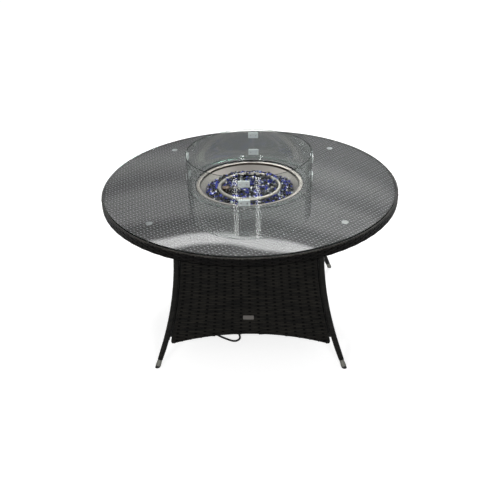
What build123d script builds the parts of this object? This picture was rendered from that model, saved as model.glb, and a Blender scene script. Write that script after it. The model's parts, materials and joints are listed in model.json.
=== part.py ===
"""Round gas fire pit table: woven bell-shaped base, glass top and a glass wind guard.

Millimetres. Origin on the floor under the table's centre, +Z up, the front faces -Y.
"""
from build123d import *
import math
import os

os.makedirs("parts", exist_ok=True)

# Table top
table_height = 750.0
glass_thickness = 5.0
glass_radius = 672.0
glass_pan_gap = 5.0
glass_arris = 1.0
pad_thickness = 2.5
pad_radius = 13.5
pad_flare = 25.0
pad_inset = 102.0
pad_count = 4
deck_thickness = 6.0
rim_proud = 8.0
rim_wall = 10.0
rim_lip = 7.5
rim_glass_gap = 1.0
rim_round = 6.0

# Aluminium top frame and base rails, all of one square tube
bar = 25.0
bar_wall = 1.5
hub_ring_setback = 4.0
spoke_count = 8

# Legs, each bent in the upright plane of its own diagonal
leg_square = 318.0
bend_drop = 86.5
leg_foot_straight = 38.3
leg_splay = 27.5
leg_tube_radius = 10.5
leg_tube_wall = 1.5
wrap_thickness = 3.0
wrap_end_thickness = 1.5
wrap_tube_gap = 0.05
wrap_taper_drop = 9.0
foot_length = 31.0
foot_end_radius = 12.5
foot_end_height = 7.5
foot_spigot_length = 15.0
foot_spigot_gap = 0.05
glide_radius = 11.5

# Bell-shaped side panels
panel_bend_radius = 1626.0
panel_bend_height = 350.0
panel_edge_inset = 16.0
panel_corner_z = 95.0
panel_arch_z = 147.0
panel_corner_round = 15.0
weave_thickness = 6.0
frame_depth = 14.0
frame_width = 18.0
frame_inset = 8.0
corner_plate_width = 22.0
corner_plate_thickness = 2.0
corner_plate_drop = 76.5
corner_plate_height = 36.0

# Top-hung flap on the right
flap_top_drop = 21.5
hinge_face_offset = 13.0
hinge_drop = 9.5
hinge_rod_radius = 3.0
hinge_gap = 0.05
hinge_spacing = 360.0
hinge_ear_radius = 7.0
hinge_ear_thickness = 3.0
hook_width = 20.0
hook_side_gap = 2.0
hook_radius = 6.5
hook_shank = 12.0

# Bolts from the spokes into the legs, and screws through the corner plates
bolt_radius = 3.0
bolt_gap = 0.05
bolt_head_radius = 5.5
bolt_head_height = 4.0
bolt_reach = 20.0
corner_screw_length = 10.0

# Fire pan
pan_flange_radius = 247.0
pan_flange_width = 17.5
pan_flange_seat = 11.0
pan_wall_lean = 41.5
pan_depth = 50.5
pan_sheet = 1.5

# Burner
burner_radius = 140.0
burner_tube_radius = 8.0
burner_drop = 12.0
burner_flat = 0.4
burner_port_radius = 1.2
burner_port_depth = 3.0
burner_port_count = 24
crossbar_width = 12.0
crossbar_drop = 11.0
hub_radius = 14.0
stem_radius = 8.0
stem_reach = 16.0
stem_gap = 0.05
locknut_radius = 13.0
locknut_height = 6.0
mixer_radius = 11.0
mixer_length = 46.0
mixer_bore_radius = 5.0
air_slot_width = 7.0
air_slot_length = 16.0
injector_radius = 8.5
injector_height = 8.0

# Fire glass bed
bed_edge_height = 22.5
bed_heap_height = 28.5
bed_gap = 0.3

# Spark and flame sensing, in a perforated cover inside the ring
cover_ring_gap = 8.0
cover_y = -25.0
cover_width = 30.0
cover_depth = 28.0
cover_height = 38.5
cover_sheet = 1.0
cover_slot_width = 2.4
cover_slot_height = 12.0
cover_slot_pitch = 5.0
cover_slots = 4
probe_spread = 14.0
electrode_radius = 3.0
electrode_tip_radius = 1.0
electrode_tip_height = 12.0
sensor_radius = 2.5
probe_height = 24.0
probe_reach = 12.0
probe_gap = 0.05
lead_radius = 1.5
lead_bend = 12.0
lead_rise = 30.0
lead_spacing = 8.0
lead_end = 30.0
electrode_lead_turn = (-60.0, 100.0)
sensor_lead_turn = (-90.0, 120.0)

# Heat shield under the pan
shield_radius = 200.0
shield_sheet = 1.2
shield_lip = 12.0
shield_drop = 97.0
post_radius = 3.0
post_ring_radius = 165.0
post_count = 4

# Feed pipe
pipe_radius = 4.0
pipe_bend = 12.0
pipe_drop = 18.0

# Control plate on the back panel
plate_drop = 46.5
plate_width = 140.0
plate_height = 80.0
plate_thickness = 2.0
plate_round = 6.0
plate_window_width = 112.0
plate_window_height = 52.0
stem_hole_gap = 1.0
control_offset = 32.0
control_screw_x = 63.0
control_screw_z = 33.0
control_bar_width = 14.0
control_bar_length = 100.0
screw_radius = 2.0
screw_gap = 0.05
screw_head_radius = 4.0
screw_head_height = 2.2
screw_length = 16.0
screw_head_taper = 20.0

# Gas valve
valve_width = 30.0
valve_length = 41.0
valve_above = 20.0
valve_round = 4.0
valve_skin_gap = 1.0
valve_below = 35.0
valve_boss_radius = 13.0
valve_stem_radius = 4.0
valve_stem_inner = 22.0
valve_stem_outer = 22.0
valve_gap = 0.05
valve_push = 5.0
valve_bore_margin = 3.0
pin_radius = 2.5
pin_length = 14.0
pin_room = 8.0
knob_radius = 22.0
knob_base = 7.0
knob_grip_height = 15.0
knob_grip_width = 11.0
knob_clearance = 6.5
knob_cap = 3.5
knob_flat = 1.0
knob_edge = 2.0
knob_arris = 1.2
knob_draft = 4.0

# Igniter
igniter_barrel_radius = 10.9
igniter_length = 68.0
igniter_bezel_radius = 14.0
igniter_bezel = 3.0
igniter_hole_gap = 0.1
igniter_nut_radius = 15.5
igniter_nut_height = 6.0
button_radius = 8.0
button_round = 1.5
button_gap = 0.05
button_travel = 5.0
button_proud = 8.0
button_inner = 18.0
button_room = 6.0

# Hose end at the valve
union_setback = 15.0
union_hex_radius = 9.8
union_hex_height = 12.0
union_spigot_radius = 5.5
union_spigot_length = 10.0
hose_nut_radius = 11.0
hose_nut_height = 18.0
ferrule_radius = 7.0
ferrule_length = 15.0

# Gas hose, lying on the floor, and the regulator at its end
hose_radius = 5.0
hose_bend_share = 0.45
regulator_x = -62.0
regulator_y = 127.0
regulator_radius = 26.0
regulator_skirt_radius = 21.0
regulator_skirt_height = 24.0
regulator_body_height = 24.0
regulator_round = 6.0
regulator_socket_radius = 13.5
regulator_socket_depth = 22.0
regulator_nose_z = 33.0
regulator_nose_length = 55.0
regulator_nose_radius = 7.0
regulator_hex_radius = 9.5
regulator_hex_length = 14.0
tap_radius = 17.0
tap_height = 9.0
tap_gap = 0.3
tap_pin_radius = 4.0
tap_pin_height = 7.0
tap_pin_gap = 0.05
tap_grip_width = 8.0
tap_grip_length = 40.0
tap_grip_height = 6.0

# Wind guard, four curved glass panels held together by clips
guard_setback = 36.7
guard_glass = 5.0
guard_height = 147.5
guard_foot = 1.5
guard_foot_angle = 3.0
guard_foot_inset = 12.0
guard_turn = -2.5
guard_gap = 5.0
guard_panels = 4
clip_width = 50.0
clip_height = 27.0
clip_plate = 2.0
clip_gasket = 1.0
clip_margin = 30.0
clip_screw_spread = 27.0
clip_screw_radius = 2.0
clip_screw_head_radius = 4.2
clip_screw_head = 2.0
clip_screw_gap = 0.05
clip_glass_hole_radius = 4.5

# Levels
glass_z = table_height - glass_thickness
deck_top_z = glass_z - pad_thickness
deck_z = deck_top_z - deck_thickness
frame_z = deck_z - bar
rail_z = frame_z - bar
rim_top_z = glass_z - rim_glass_gap
pan_top_z = deck_top_z + pan_sheet
pan_floor_z = pan_top_z - pan_depth
burner_z = pan_top_z - burner_drop - burner_tube_radius
crossbar_z = burner_z - crossbar_drop
stem_end_z = pan_floor_z - pan_sheet - stem_reach
locknut_z = pan_floor_z - pan_sheet - locknut_height
mixer_z = locknut_z - mixer_length
injector_z = mixer_z - injector_height
pipe_z = injector_z - pipe_drop
shield_z = pan_floor_z - shield_drop

# Widths that follow the glass and the fire pan
rim_radius = glass_radius + rim_proud
rim_inner_radius = rim_radius - rim_wall
pad_ring_radius = glass_radius - pad_inset
glass_hole_radius = pan_flange_radius + glass_pan_gap
deck_hole_radius = pan_flange_radius - pan_flange_seat
hub_ring_radius = deck_hole_radius + hub_ring_setback
pan_floor_radius = pan_flange_radius - pan_flange_width - pan_wall_lean
cover_x = cover_width / 2 + cover_ring_gap + burner_tube_radius - burner_radius
guard_radius = glass_hole_radius + guard_setback

# Panel geometry
panel_face = leg_square
bend_z = rail_z - bend_drop
bend_end_z = bend_z - panel_bend_height
panel_flare = math.degrees(math.asin(panel_bend_height / panel_bend_radius))
corner_plate_z = rail_z - corner_plate_drop
plate_z = rail_z - plate_drop
frame_face = panel_face - weave_thickness
frame_back = frame_face - frame_depth
stile_middle = panel_face - panel_edge_inset - frame_inset - frame_width / 2
corner_screw_z = corner_plate_z + corner_plate_height / 2
hinge_x = panel_face - hinge_face_offset
hinge_z = rail_z - hinge_drop

# Valve and igniter places on the back panel
plate_back = panel_face
plate_front = plate_back + plate_thickness
valve_x = -control_offset
igniter_x = control_offset
valve_front = frame_face - valve_skin_gap
valve_back = valve_front - valve_length
union_y = valve_back + union_setback
valve_bottom = plate_z - valve_below
knob_face = plate_front + knob_clearance
stem_inner_y = plate_back - valve_stem_inner
igniter_back = plate_front + igniter_bezel - igniter_length
union_spigot_z = valve_bottom - union_hex_height - union_spigot_length
ferrule_z = valve_bottom - union_hex_height - hose_nut_height - ferrule_length

sides = {"front": -90.0, "right": 0.0, "back": 90.0, "left": 180.0}
corners = {"front_left": -135.0, "front_right": -45.0, "back_right": 45.0, "back_left": 135.0}


def upright(angle):
    """Plane through the Z axis with local x pointing out at this angle and local y up."""
    out = Vector(1, 0, 0).rotate(Axis.Z, angle)
    return Plane(origin=(0, 0, 0), x_dir=out, z_dir=out.cross(Vector(0, 0, 1)))


def facing(angle, distance=0.0):
    """Plane seen from outside at this angle, local x along the side and local y up."""
    out = Vector(1, 0, 0).rotate(Axis.Z, angle)
    return Plane(origin=out * distance, x_dir=out.rotate(Axis.Z, 90), z_dir=out)


def radial(angle, distance, z):
    """Plane at a point round the Z axis, its normal pointing out."""
    out = Vector(1, 0, 0).rotate(Axis.Z, angle)
    origin = out * distance + Vector(0, 0, z)
    return Plane(origin=origin, x_dir=out.rotate(Axis.Z, 90), z_dir=out)


def bell_line(start, top, bottom):
    """Draw the bell curve: a drop, a bend outwards and a straight flare."""
    drop = Line((start, top), (start, bend_z))
    bend = JernArc(start=drop @ 1, tangent=(0, -1), radius=panel_bend_radius, arc_size=panel_flare)
    foot = bend @ 1
    reach = (foot.Y - bottom) * math.tan(math.radians(panel_flare))
    flare = Line(foot, (foot.X + reach, bottom))
    return drop @ 0, flare @ 1


def bell_offset(z):
    """How far the bell curve stands out at a height below its bend."""
    angle = math.radians(panel_flare)
    swing = panel_bend_radius * (1 - math.cos(angle))
    return swing + (bend_end_z - z) * math.tan(angle)


def bell_band(outer, inner, top, bottom):
    """Sketch of the space between two bell curves."""
    with BuildSketch() as band:
        with BuildLine():
            outer_top, outer_end = bell_line(outer, top, bottom)
            inner_top, inner_end = bell_line(inner, top, bottom)
            Line(outer_top, inner_top)
            Line(outer_end, inner_end)
        make_face()
    return band.sketch


def panel_outline(edge, top, rise, corner_round):
    """Sketch of a panel seen from the front: flared sides over an arched lower edge."""
    corner_z = panel_corner_z + rise
    with BuildSketch() as outline:
        with BuildLine():
            bell_line(edge, top, corner_z)
            mirror(about=Plane.YZ)
            right = Vector(edge + bell_offset(corner_z), corner_z)
            left = Vector(-right.X, corner_z)
            ThreePointArc(right, (0, panel_arch_z + rise), left)
            Line((edge, top), (-edge, top))
        make_face()
        fillet(outline.vertices().group_by(Axis.Y)[0], corner_round)
    return outline.sketch


def panel_weave(angle, top, window):
    """Woven skin of one side."""
    band = bell_band(panel_face, frame_face, top, panel_corner_z)
    outline = panel_outline(panel_face - panel_edge_inset, top, 0, panel_corner_round)
    with BuildPart() as weave:
        with BuildSketch(upright(angle)):
            add(band)
        extrude(amount=panel_face + bell_offset(panel_corner_z), both=True)
        with BuildSketch(facing(angle)):
            add(outline)
        extrude(amount=2 * panel_face, mode=Mode.INTERSECT)
        if window:
            with BuildSketch(facing(angle)):
                with Locations((0, plate_z)):
                    Rectangle(plate_window_width, plate_window_height)
                    with GridLocations(2 * control_screw_x, 2 * control_screw_z, 2, 2):
                        Circle(screw_radius + screw_gap)
            extrude(amount=2 * panel_face, mode=Mode.SUBTRACT)
    return weave


def panel_frame(angle, top, window, screwed):
    """Welded frame behind one woven skin, a ring of flat bar with the panel's own curve."""
    bottom = panel_corner_z + frame_inset
    edge = panel_face - panel_edge_inset - frame_inset
    band = bell_band(frame_face, frame_back, top, bottom)
    outline = panel_outline(edge, top, frame_inset, panel_corner_round)
    opening = panel_outline(
        edge - frame_width, top - frame_width, frame_inset + frame_width, panel_corner_round
    )
    with BuildPart() as frame:
        with BuildSketch(upright(angle)):
            add(band)
        extrude(amount=panel_face + bell_offset(bottom), both=True)
        with BuildSketch(facing(angle)):
            add(outline)
        extrude(amount=2 * panel_face, mode=Mode.INTERSECT)
        with BuildSketch(facing(angle)):
            add(opening)
            if window:
                with Locations((-control_screw_x, plate_z), (control_screw_x, plate_z)):
                    Rectangle(control_bar_width, control_bar_length, mode=Mode.SUBTRACT)
        extrude(amount=2 * panel_face, mode=Mode.SUBTRACT)
        if window:
            with BuildSketch(facing(angle, frame_back)):
                with Locations((0, plate_z)):
                    with GridLocations(2 * control_screw_x, 2 * control_screw_z, 2, 2):
                        Circle(screw_radius + screw_gap)
            extrude(amount=frame_depth, mode=Mode.SUBTRACT)
        if screwed:
            with BuildSketch(facing(angle, frame_back)):
                with Locations((stile_middle, corner_screw_z), (-stile_middle, corner_screw_z)):
                    Circle(screw_radius + screw_gap)
            extrude(amount=corner_screw_length - corner_plate_thickness + screw_gap, mode=Mode.SUBTRACT)
    return frame


leg_sine = math.sin(math.radians(leg_splay))
leg_cosine = math.cos(math.radians(leg_splay))
leg_diagonal = leg_square * math.sqrt(2)
foot_top_z = foot_end_height + foot_length * leg_cosine
leg_bend_end_z = foot_top_z + leg_foot_straight * leg_cosine
leg_bend_radius = (bend_z - leg_bend_end_z) / leg_sine
wrap_taper_z = leg_bend_end_z - wrap_taper_drop
leg_reach = leg_diagonal + leg_bend_radius * (1 - leg_cosine)
wrap_radius = leg_tube_radius + wrap_thickness
foot_out = leg_reach + (leg_bend_end_z - foot_end_height) * math.tan(math.radians(leg_splay))
leg_axis = Axis((foot_out, 0, foot_end_height), (leg_sine, 0, -leg_cosine))


def leg_pipe(outer, inner, bottom):
    """Tube on a leg's centreline from the rails down to a height on the splayed end."""
    bend_centre = (leg_diagonal + leg_bend_radius, 0, bend_z)
    splay = Plane(origin=(leg_reach, 0, leg_bend_end_z), z_dir=leg_axis.direction)
    with BuildPart() as pipe:
        with BuildSketch(Plane.XY.offset(bend_z)) as section:
            with Locations((leg_diagonal, 0)):
                Circle(outer)
                Circle(inner, mode=Mode.SUBTRACT)
        extrude(amount=rail_z - bend_z)
        revolve(section.sketch, axis=Axis(bend_centre, (0, -1, 0)), revolution_arc=leg_splay)
        with BuildSketch(splay):
            Circle(outer)
            Circle(inner, mode=Mode.SUBTRACT)
        extrude(amount=(leg_bend_end_z - bottom) / leg_cosine)
    return pipe.part


def at_corners(piece):
    """The same piece on all four diagonals."""
    with BuildPart() as pieces_at_corners:
        with PolarLocations(0, len(corners), start_angle=45):
            add(piece)
    return pieces_at_corners


def foot_profile(points):
    """Sketch beside the splayed end of a leg, from (distance up the leg, radius) pairs."""
    foot = Vector(foot_out, foot_end_height)
    up = Vector(-leg_sine, leg_cosine)
    side = Vector(leg_cosine, leg_sine)
    with BuildSketch() as profile:
        with BuildLine():
            Polyline(*[foot + up * along + side * radius for along, radius in points], close=True)
        make_face()
    return profile.sketch


# Glass table top with a round opening for the fire pan
with BuildPart() as table_glass:
    with BuildSketch(Plane.XY.offset(glass_z)):
        Circle(glass_radius)
        Circle(glass_hole_radius, mode=Mode.SUBTRACT)
    extrude(amount=glass_thickness)
    chamfer(table_glass.edges().filter_by(GeomType.CIRCLE), glass_arris)

# Clear suction pads that the glass rests on, each flared towards the glass
with BuildPart() as glass_pads:
    with BuildSketch(Plane.XY.offset(deck_top_z)):
        with PolarLocations(pad_ring_radius, pad_count, start_angle=45):
            Circle(pad_radius)
    extrude(amount=pad_thickness, taper=-pad_flare)

# Woven deck under the glass
with BuildPart() as woven_deck:
    with BuildSketch(Plane.XY.offset(deck_z)):
        Circle(rim_inner_radius)
        Circle(deck_hole_radius, mode=Mode.SUBTRACT)
    extrude(amount=deck_thickness)

# Woven rim, wrapped round the outer frame ring and under it
with BuildPart() as woven_rim:
    with BuildSketch(upright(0)) as rim_profile:
        with BuildLine():
            Polyline(
                (rim_inner_radius - bar, frame_z - rim_lip),
                (rim_radius, frame_z - rim_lip),
                (rim_radius, rim_top_z),
                (rim_inner_radius, rim_top_z),
                (rim_inner_radius, frame_z),
                (rim_inner_radius - bar, frame_z),
                close=True,
            )
        make_face()
        fillet(rim_profile.vertices().group_by(Axis.X)[-1], rim_round)
    revolve(axis=Axis.Z)

# Frame rings at the rim and round the fire pan
with BuildPart() as top_ring:
    with BuildSketch(Plane.XY.offset(frame_z)):
        Circle(rim_inner_radius)
        Circle(rim_inner_radius - bar, mode=Mode.SUBTRACT)
    extrude(amount=bar)

with BuildPart() as hub_ring:
    with BuildSketch(Plane.XY.offset(frame_z)):
        Circle(hub_ring_radius + bar)
        Circle(hub_ring_radius, mode=Mode.SUBTRACT)
    extrude(amount=bar)

# Spokes between the rings, every second one over a leg, coped to the rings
spoke_middle = (hub_ring_radius + rim_inner_radius) / 2
with BuildPart() as spokes:
    with BuildSketch(Plane.XY.offset(frame_z)):
        with PolarLocations(spoke_middle, spoke_count):
            Rectangle(rim_inner_radius - hub_ring_radius, bar)
    extrude(amount=bar)
    with BuildSketch(Plane.XY.offset(frame_z + bar_wall)):
        with PolarLocations(spoke_middle, spoke_count):
            Rectangle(rim_inner_radius - hub_ring_radius, bar - 2 * bar_wall)
    extrude(amount=bar - 2 * bar_wall, mode=Mode.SUBTRACT)
    with BuildSketch(Plane.XY.offset(frame_z)):
        Circle(rim_inner_radius - bar)
        Circle(hub_ring_radius + bar, mode=Mode.SUBTRACT)
    extrude(amount=bar, mode=Mode.INTERSECT)
    with BuildSketch(Plane.XY.offset(frame_z)):
        with GridLocations(2 * leg_square, 2 * leg_square, 2, 2):
            Circle(bolt_radius + bolt_gap)
    extrude(amount=bar_wall, mode=Mode.SUBTRACT)

# Base rails between the leg heads, with the flap's hinge ears and rods under the right one
hook_half = hook_width / 2 + hook_side_gap
with BuildPart() as base_rails:
    for angle in sides.values():
        with BuildSketch(upright(angle)):
            with Locations((leg_square, rail_z + bar / 2)):
                Rectangle(bar, bar)
                Rectangle(bar - 2 * bar_wall, bar - 2 * bar_wall, mode=Mode.SUBTRACT)
        extrude(amount=leg_square - bar / 2, both=True)
    for hinge_y in (-hinge_spacing / 2, hinge_spacing / 2):
        for ear_y in (hinge_y - hook_half - hinge_ear_thickness, hinge_y + hook_half):
            with BuildSketch(facing(-90, -ear_y)):
                with Locations((hinge_x, hinge_z)):
                    Circle(hinge_ear_radius)
                with Locations((hinge_x, (hinge_z + rail_z) / 2)):
                    Rectangle(2 * hinge_ear_radius, rail_z - hinge_z)
            extrude(amount=-hinge_ear_thickness)
        with BuildSketch(facing(-90, -hinge_y)):
            with Locations((hinge_x, hinge_z)):
                Circle(hinge_rod_radius)
        extrude(amount=hook_half, both=True)

# Leg tubes, each with a square head that the rails meet
tube_pipe = leg_pipe(leg_tube_radius, leg_tube_radius - leg_tube_wall, foot_top_z)
with BuildPart() as leg_tube:
    add(tube_pipe)
    with BuildSketch(Plane.XY.offset(rail_z)):
        with Locations((leg_diagonal, 0)):
            Rectangle(bar, bar, rotation=45)
    extrude(amount=bar)
    with BuildSketch(Plane.XY.offset(frame_z)):
        with Locations((leg_diagonal, 0)):
            Circle(bolt_radius + bolt_gap)
    extrude(amount=-bolt_reach - bolt_gap, mode=Mode.SUBTRACT)
leg_tubes = at_corners(leg_tube.part)

# Woven wraps over the leg tubes, each drawn in towards its foot
wrap_pipe = leg_pipe(wrap_radius, leg_tube_radius + wrap_tube_gap, wrap_taper_z)
taper_top = (wrap_taper_z - foot_end_height) / leg_cosine
wrap_end = foot_profile(
    [
        (taper_top, leg_tube_radius + wrap_tube_gap),
        (taper_top, wrap_radius),
        (foot_length, leg_tube_radius + wrap_end_thickness),
        (foot_length, leg_tube_radius + wrap_tube_gap),
    ]
)
with BuildPart() as leg_wrap:
    add(wrap_pipe)
    with BuildSketch(upright(0)):
        add(wrap_end)
    revolve(axis=leg_axis)
leg_wraps = {}
for corner, angle in corners.items():
    with BuildPart() as corner_wrap:
        with Locations(Location((0, 0, 0), (0, 0, angle))):
            add(leg_wrap.part)
    leg_wraps[corner] = corner_wrap

# Aluminium foot caps, plugged into the tubes
foot_spigot_radius = leg_tube_radius - leg_tube_wall - foot_spigot_gap
foot_cap = foot_profile(
    [
        (0, 0),
        (0, foot_end_radius),
        (foot_length, leg_tube_radius),
        (foot_length, foot_spigot_radius),
        (foot_length + foot_spigot_length, foot_spigot_radius),
        (foot_length + foot_spigot_length, 0),
    ]
)
with BuildPart() as cap_turned:
    with BuildSketch(upright(0)):
        add(foot_cap)
    revolve(axis=leg_axis)
foot_caps = at_corners(cap_turned.part)

# Rubber glides under the caps, cut flat at the floor
glide_reach = 2 * (foot_end_height + glide_radius * leg_sine)
foot_glide = foot_profile(
    [(0, 0), (0, glide_radius), (-glide_reach, glide_radius), (-glide_reach, 0)]
)
with BuildPart() as glide_turned:
    with BuildSketch(upright(0)):
        add(foot_glide)
    revolve(axis=leg_axis)
    split(bisect_by=Plane.XY, keep=Keep.TOP)
foot_glides = at_corners(glide_turned.part)

# Woven skins and their frames; the right one is the flap, the back one holds the controls
weaves = {}
frames = {}
for side, angle in sides.items():
    top = rail_z - flap_top_drop if side == "right" else rail_z
    weaves[side] = panel_weave(angle, top, side == "back")
    frames[side] = panel_frame(angle, top, side == "back", side != "right")

# Hooks on the flap's frame that hang on the rods
with BuildPart() as flap_hooks:
    for hinge_y in (-hinge_spacing / 2, hinge_spacing / 2):
        with BuildSketch(facing(-90, -hinge_y)):
            with Locations((hinge_x, hinge_z)):
                Circle(hook_radius)
            with Locations((hinge_x, hinge_z - (flap_top_drop - hinge_drop) / 2)):
                Rectangle(hook_shank, flap_top_drop - hinge_drop)
            with Locations((hinge_x, hinge_z)):
                Circle(hinge_rod_radius + hinge_gap, mode=Mode.SUBTRACT)
        extrude(amount=hook_width / 2, both=True)

# Angle plates behind the panel corners, which tie the fixed frames and stop the flap
plate_middle = frame_back - corner_plate_width / 2
with BuildPart() as corner_plates:
    with BuildSketch(Plane.XY.offset(corner_plate_z)):
        with PolarLocations(0, 4):
            with Locations(
                (frame_back - corner_plate_thickness / 2, plate_middle),
                (frame_back - corner_plate_thickness / 2, -plate_middle),
            ):
                Rectangle(corner_plate_thickness, corner_plate_width)
    extrude(amount=corner_plate_height)
    for side, angle in sides.items():
        if side != "right":
            with BuildSketch(facing(angle, frame_back)):
                with Locations((stile_middle, corner_screw_z), (-stile_middle, corner_screw_z)):
                    Circle(screw_radius + screw_gap)
            extrude(amount=-corner_plate_thickness, mode=Mode.SUBTRACT)

# Bolts that hold the top frame to the leg heads, and the corner plates' screws
with BuildPart() as frame_bolts:
    with BuildSketch(Plane.XY.offset(frame_z - bolt_reach)):
        with GridLocations(2 * leg_square, 2 * leg_square, 2, 2):
            Circle(bolt_radius)
    extrude(amount=bolt_reach + bar_wall)
    with BuildSketch(Plane.XY.offset(frame_z + bar_wall)):
        with GridLocations(2 * leg_square, 2 * leg_square, 2, 2):
            RegularPolygon(bolt_head_radius, 6)
    extrude(amount=bolt_head_height)
    for side, angle in sides.items():
        if side != "right":
            with BuildSketch(facing(angle, frame_back - corner_plate_thickness)):
                with Locations((stile_middle, corner_screw_z), (-stile_middle, corner_screw_z)):
                    Circle(screw_radius)
            extrude(amount=corner_screw_length)
            with BuildSketch(facing(angle, frame_back - corner_plate_thickness)):
                with Locations((stile_middle, corner_screw_z), (-stile_middle, corner_screw_z)):
                    Circle(screw_head_radius)
            extrude(amount=-screw_head_height)

# Stainless fire pan, one pressed sheet with a flange that rests on the deck
with BuildPart() as fire_pan:
    with BuildSketch(upright(0)):
        with BuildLine():
            Polyline(
                (pan_flange_radius, pan_top_z),
                (pan_flange_radius - pan_flange_width, pan_top_z),
                (pan_floor_radius, pan_floor_z),
                (0, pan_floor_z),
            )
            offset(amount=pan_sheet, side=Side.LEFT)
        make_face()
    revolve(axis=Axis.Z)
    with BuildSketch(Plane.XY.offset(pan_floor_z)):
        Circle(stem_radius + stem_gap)
        with Locations((cover_x, cover_y - probe_spread / 2)):
            Circle(electrode_radius + probe_gap)
        with Locations((cover_x, cover_y + probe_spread / 2)):
            Circle(sensor_radius + probe_gap)
    extrude(amount=-pan_sheet, mode=Mode.SUBTRACT)

# Ring burner with its gas ports on a flat, and its crossbar, hub and threaded stem
with BuildPart() as burner_ring:
    with BuildSketch(upright(0)):
        with Locations((burner_radius, burner_z)):
            Circle(burner_tube_radius)
        with Locations((burner_radius, burner_z + 2 * burner_tube_radius - burner_flat)):
            Rectangle(2 * burner_tube_radius, 2 * burner_tube_radius, mode=Mode.SUBTRACT)
    revolve(axis=Axis.Z)
    with BuildSketch(Plane.YZ):
        with Locations((0, crossbar_z)):
            Rectangle(crossbar_width, crossbar_width)
    extrude(amount=burner_radius, both=True)
    with BuildSketch(Plane.XY.offset(pan_floor_z)):
        Circle(hub_radius)
    extrude(amount=crossbar_z + crossbar_width / 2 - pan_floor_z)
    with BuildSketch(Plane.XY.offset(stem_end_z)):
        Circle(stem_radius)
    extrude(amount=crossbar_z - stem_end_z)
    with BuildSketch(Plane.XY.offset(burner_z + burner_tube_radius - burner_flat)):
        with PolarLocations(burner_radius, burner_port_count, start_angle=180 / burner_port_count):
            Circle(burner_port_radius)
    extrude(amount=-burner_port_depth, mode=Mode.SUBTRACT)

with BuildPart() as burner_locknut:
    with BuildSketch(Plane.XY.offset(locknut_z)):
        RegularPolygon(locknut_radius, 6)
        Circle(stem_radius + stem_gap, mode=Mode.SUBTRACT)
    extrude(amount=locknut_height)

# Air mixer screwed on the stem, with its air slots and the gas injector below
socket_depth = locknut_z - stem_end_z
with BuildPart() as air_mixer:
    with BuildSketch(Plane.XY.offset(mixer_z)):
        Circle(mixer_radius)
    extrude(amount=mixer_length)
    with BuildSketch(Plane.XY.offset(injector_z)):
        RegularPolygon(injector_radius, 6)
    extrude(amount=injector_height)
    with BuildSketch(Plane.XY.offset(locknut_z)):
        Circle(stem_radius + stem_gap)
    extrude(amount=-socket_depth - stem_gap, mode=Mode.SUBTRACT)
    with BuildSketch(Plane.XY.offset(mixer_z)):
        Circle(mixer_bore_radius)
    extrude(amount=mixer_length - socket_depth, mode=Mode.SUBTRACT)
    for plane in (Plane.XZ, Plane.YZ):
        with BuildSketch(plane):
            with Locations((0, mixer_z + air_slot_length)):
                SlotOverall(air_slot_length, air_slot_width, rotation=90)
        extrude(amount=2 * mixer_radius, both=True, mode=Mode.SUBTRACT)

# Perforated cover over the spark electrode and the flame sensor
with BuildPart() as pilot_cover:
    with BuildSketch(Plane.XY.offset(pan_floor_z)):
        with Locations((cover_x, cover_y)):
            Rectangle(cover_width, cover_depth)
    extrude(amount=cover_height)
    with BuildSketch(Plane.XY.offset(pan_floor_z)):
        with Locations((cover_x, cover_y)):
            Rectangle(cover_width - 2 * cover_sheet, cover_depth - 2 * cover_sheet)
    extrude(amount=cover_height - cover_sheet, mode=Mode.SUBTRACT)
    slot_z = pan_floor_z + cover_height - cover_slot_height / 2 - 2 * cover_sheet
    with BuildSketch(Plane.XZ.offset(-cover_y)):
        with Locations((cover_x, slot_z)):
            with GridLocations(cover_slot_pitch, 1, cover_slots, 1):
                Rectangle(cover_slot_width, cover_slot_height)
    extrude(amount=cover_depth, both=True, mode=Mode.SUBTRACT)
    with BuildSketch(Plane.YZ.offset(cover_x)):
        with Locations((cover_y, slot_z)):
            with GridLocations(cover_slot_pitch, 1, cover_slots, 1):
                Rectangle(cover_slot_width, cover_slot_height)
    extrude(amount=cover_width, both=True, mode=Mode.SUBTRACT)

# Spark electrode and flame sensor, each with its lead to the control plate
probe_bottom_z = pan_floor_z - pan_sheet - probe_reach
electrode_y = cover_y - probe_spread / 2
sensor_y = cover_y + probe_spread / 2
lead_z = pipe_z + lead_rise
with BuildPart() as spark_electrode:
    with BuildSketch(Plane.XY.offset(probe_bottom_z)):
        with Locations((cover_x, electrode_y)):
            Circle(electrode_radius)
    extrude(amount=probe_reach + pan_sheet + probe_height)
    with BuildSketch(Plane.XY.offset(pan_floor_z + probe_height)):
        with Locations((cover_x, electrode_y)):
            Circle(electrode_tip_radius)
    extrude(amount=electrode_tip_height)
    with BuildLine() as electrode_lead:
        FilletPolyline(
            (cover_x, electrode_y, probe_bottom_z),
            (cover_x, electrode_y, lead_z),
            (*electrode_lead_turn, lead_z),
            (igniter_x, igniter_back - lead_end, plate_z),
            (igniter_x, igniter_back, plate_z),
            radius=lead_bend,
        )
    with BuildSketch(Plane(electrode_lead.line @ 0, z_dir=electrode_lead.line % 0)):
        Circle(lead_radius)
    sweep(path=electrode_lead.line)

with BuildPart() as flame_sensor:
    with BuildSketch(Plane.XY.offset(probe_bottom_z)):
        with Locations((cover_x, sensor_y)):
            Circle(sensor_radius)
    extrude(amount=probe_reach + pan_sheet + probe_height)
    with BuildLine() as sensor_lead:
        FilletPolyline(
            (cover_x, sensor_y, probe_bottom_z),
            (cover_x, sensor_y, lead_z + lead_spacing),
            (*sensor_lead_turn, lead_z + lead_spacing),
            (valve_x, valve_back - lead_end, plate_z),
            (valve_x, valve_back, plate_z),
            radius=lead_bend,
        )
    with BuildSketch(Plane(sensor_lead.line @ 0, z_dir=sensor_lead.line % 0)):
        Circle(lead_radius)
    sweep(path=sensor_lead.line)

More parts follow.
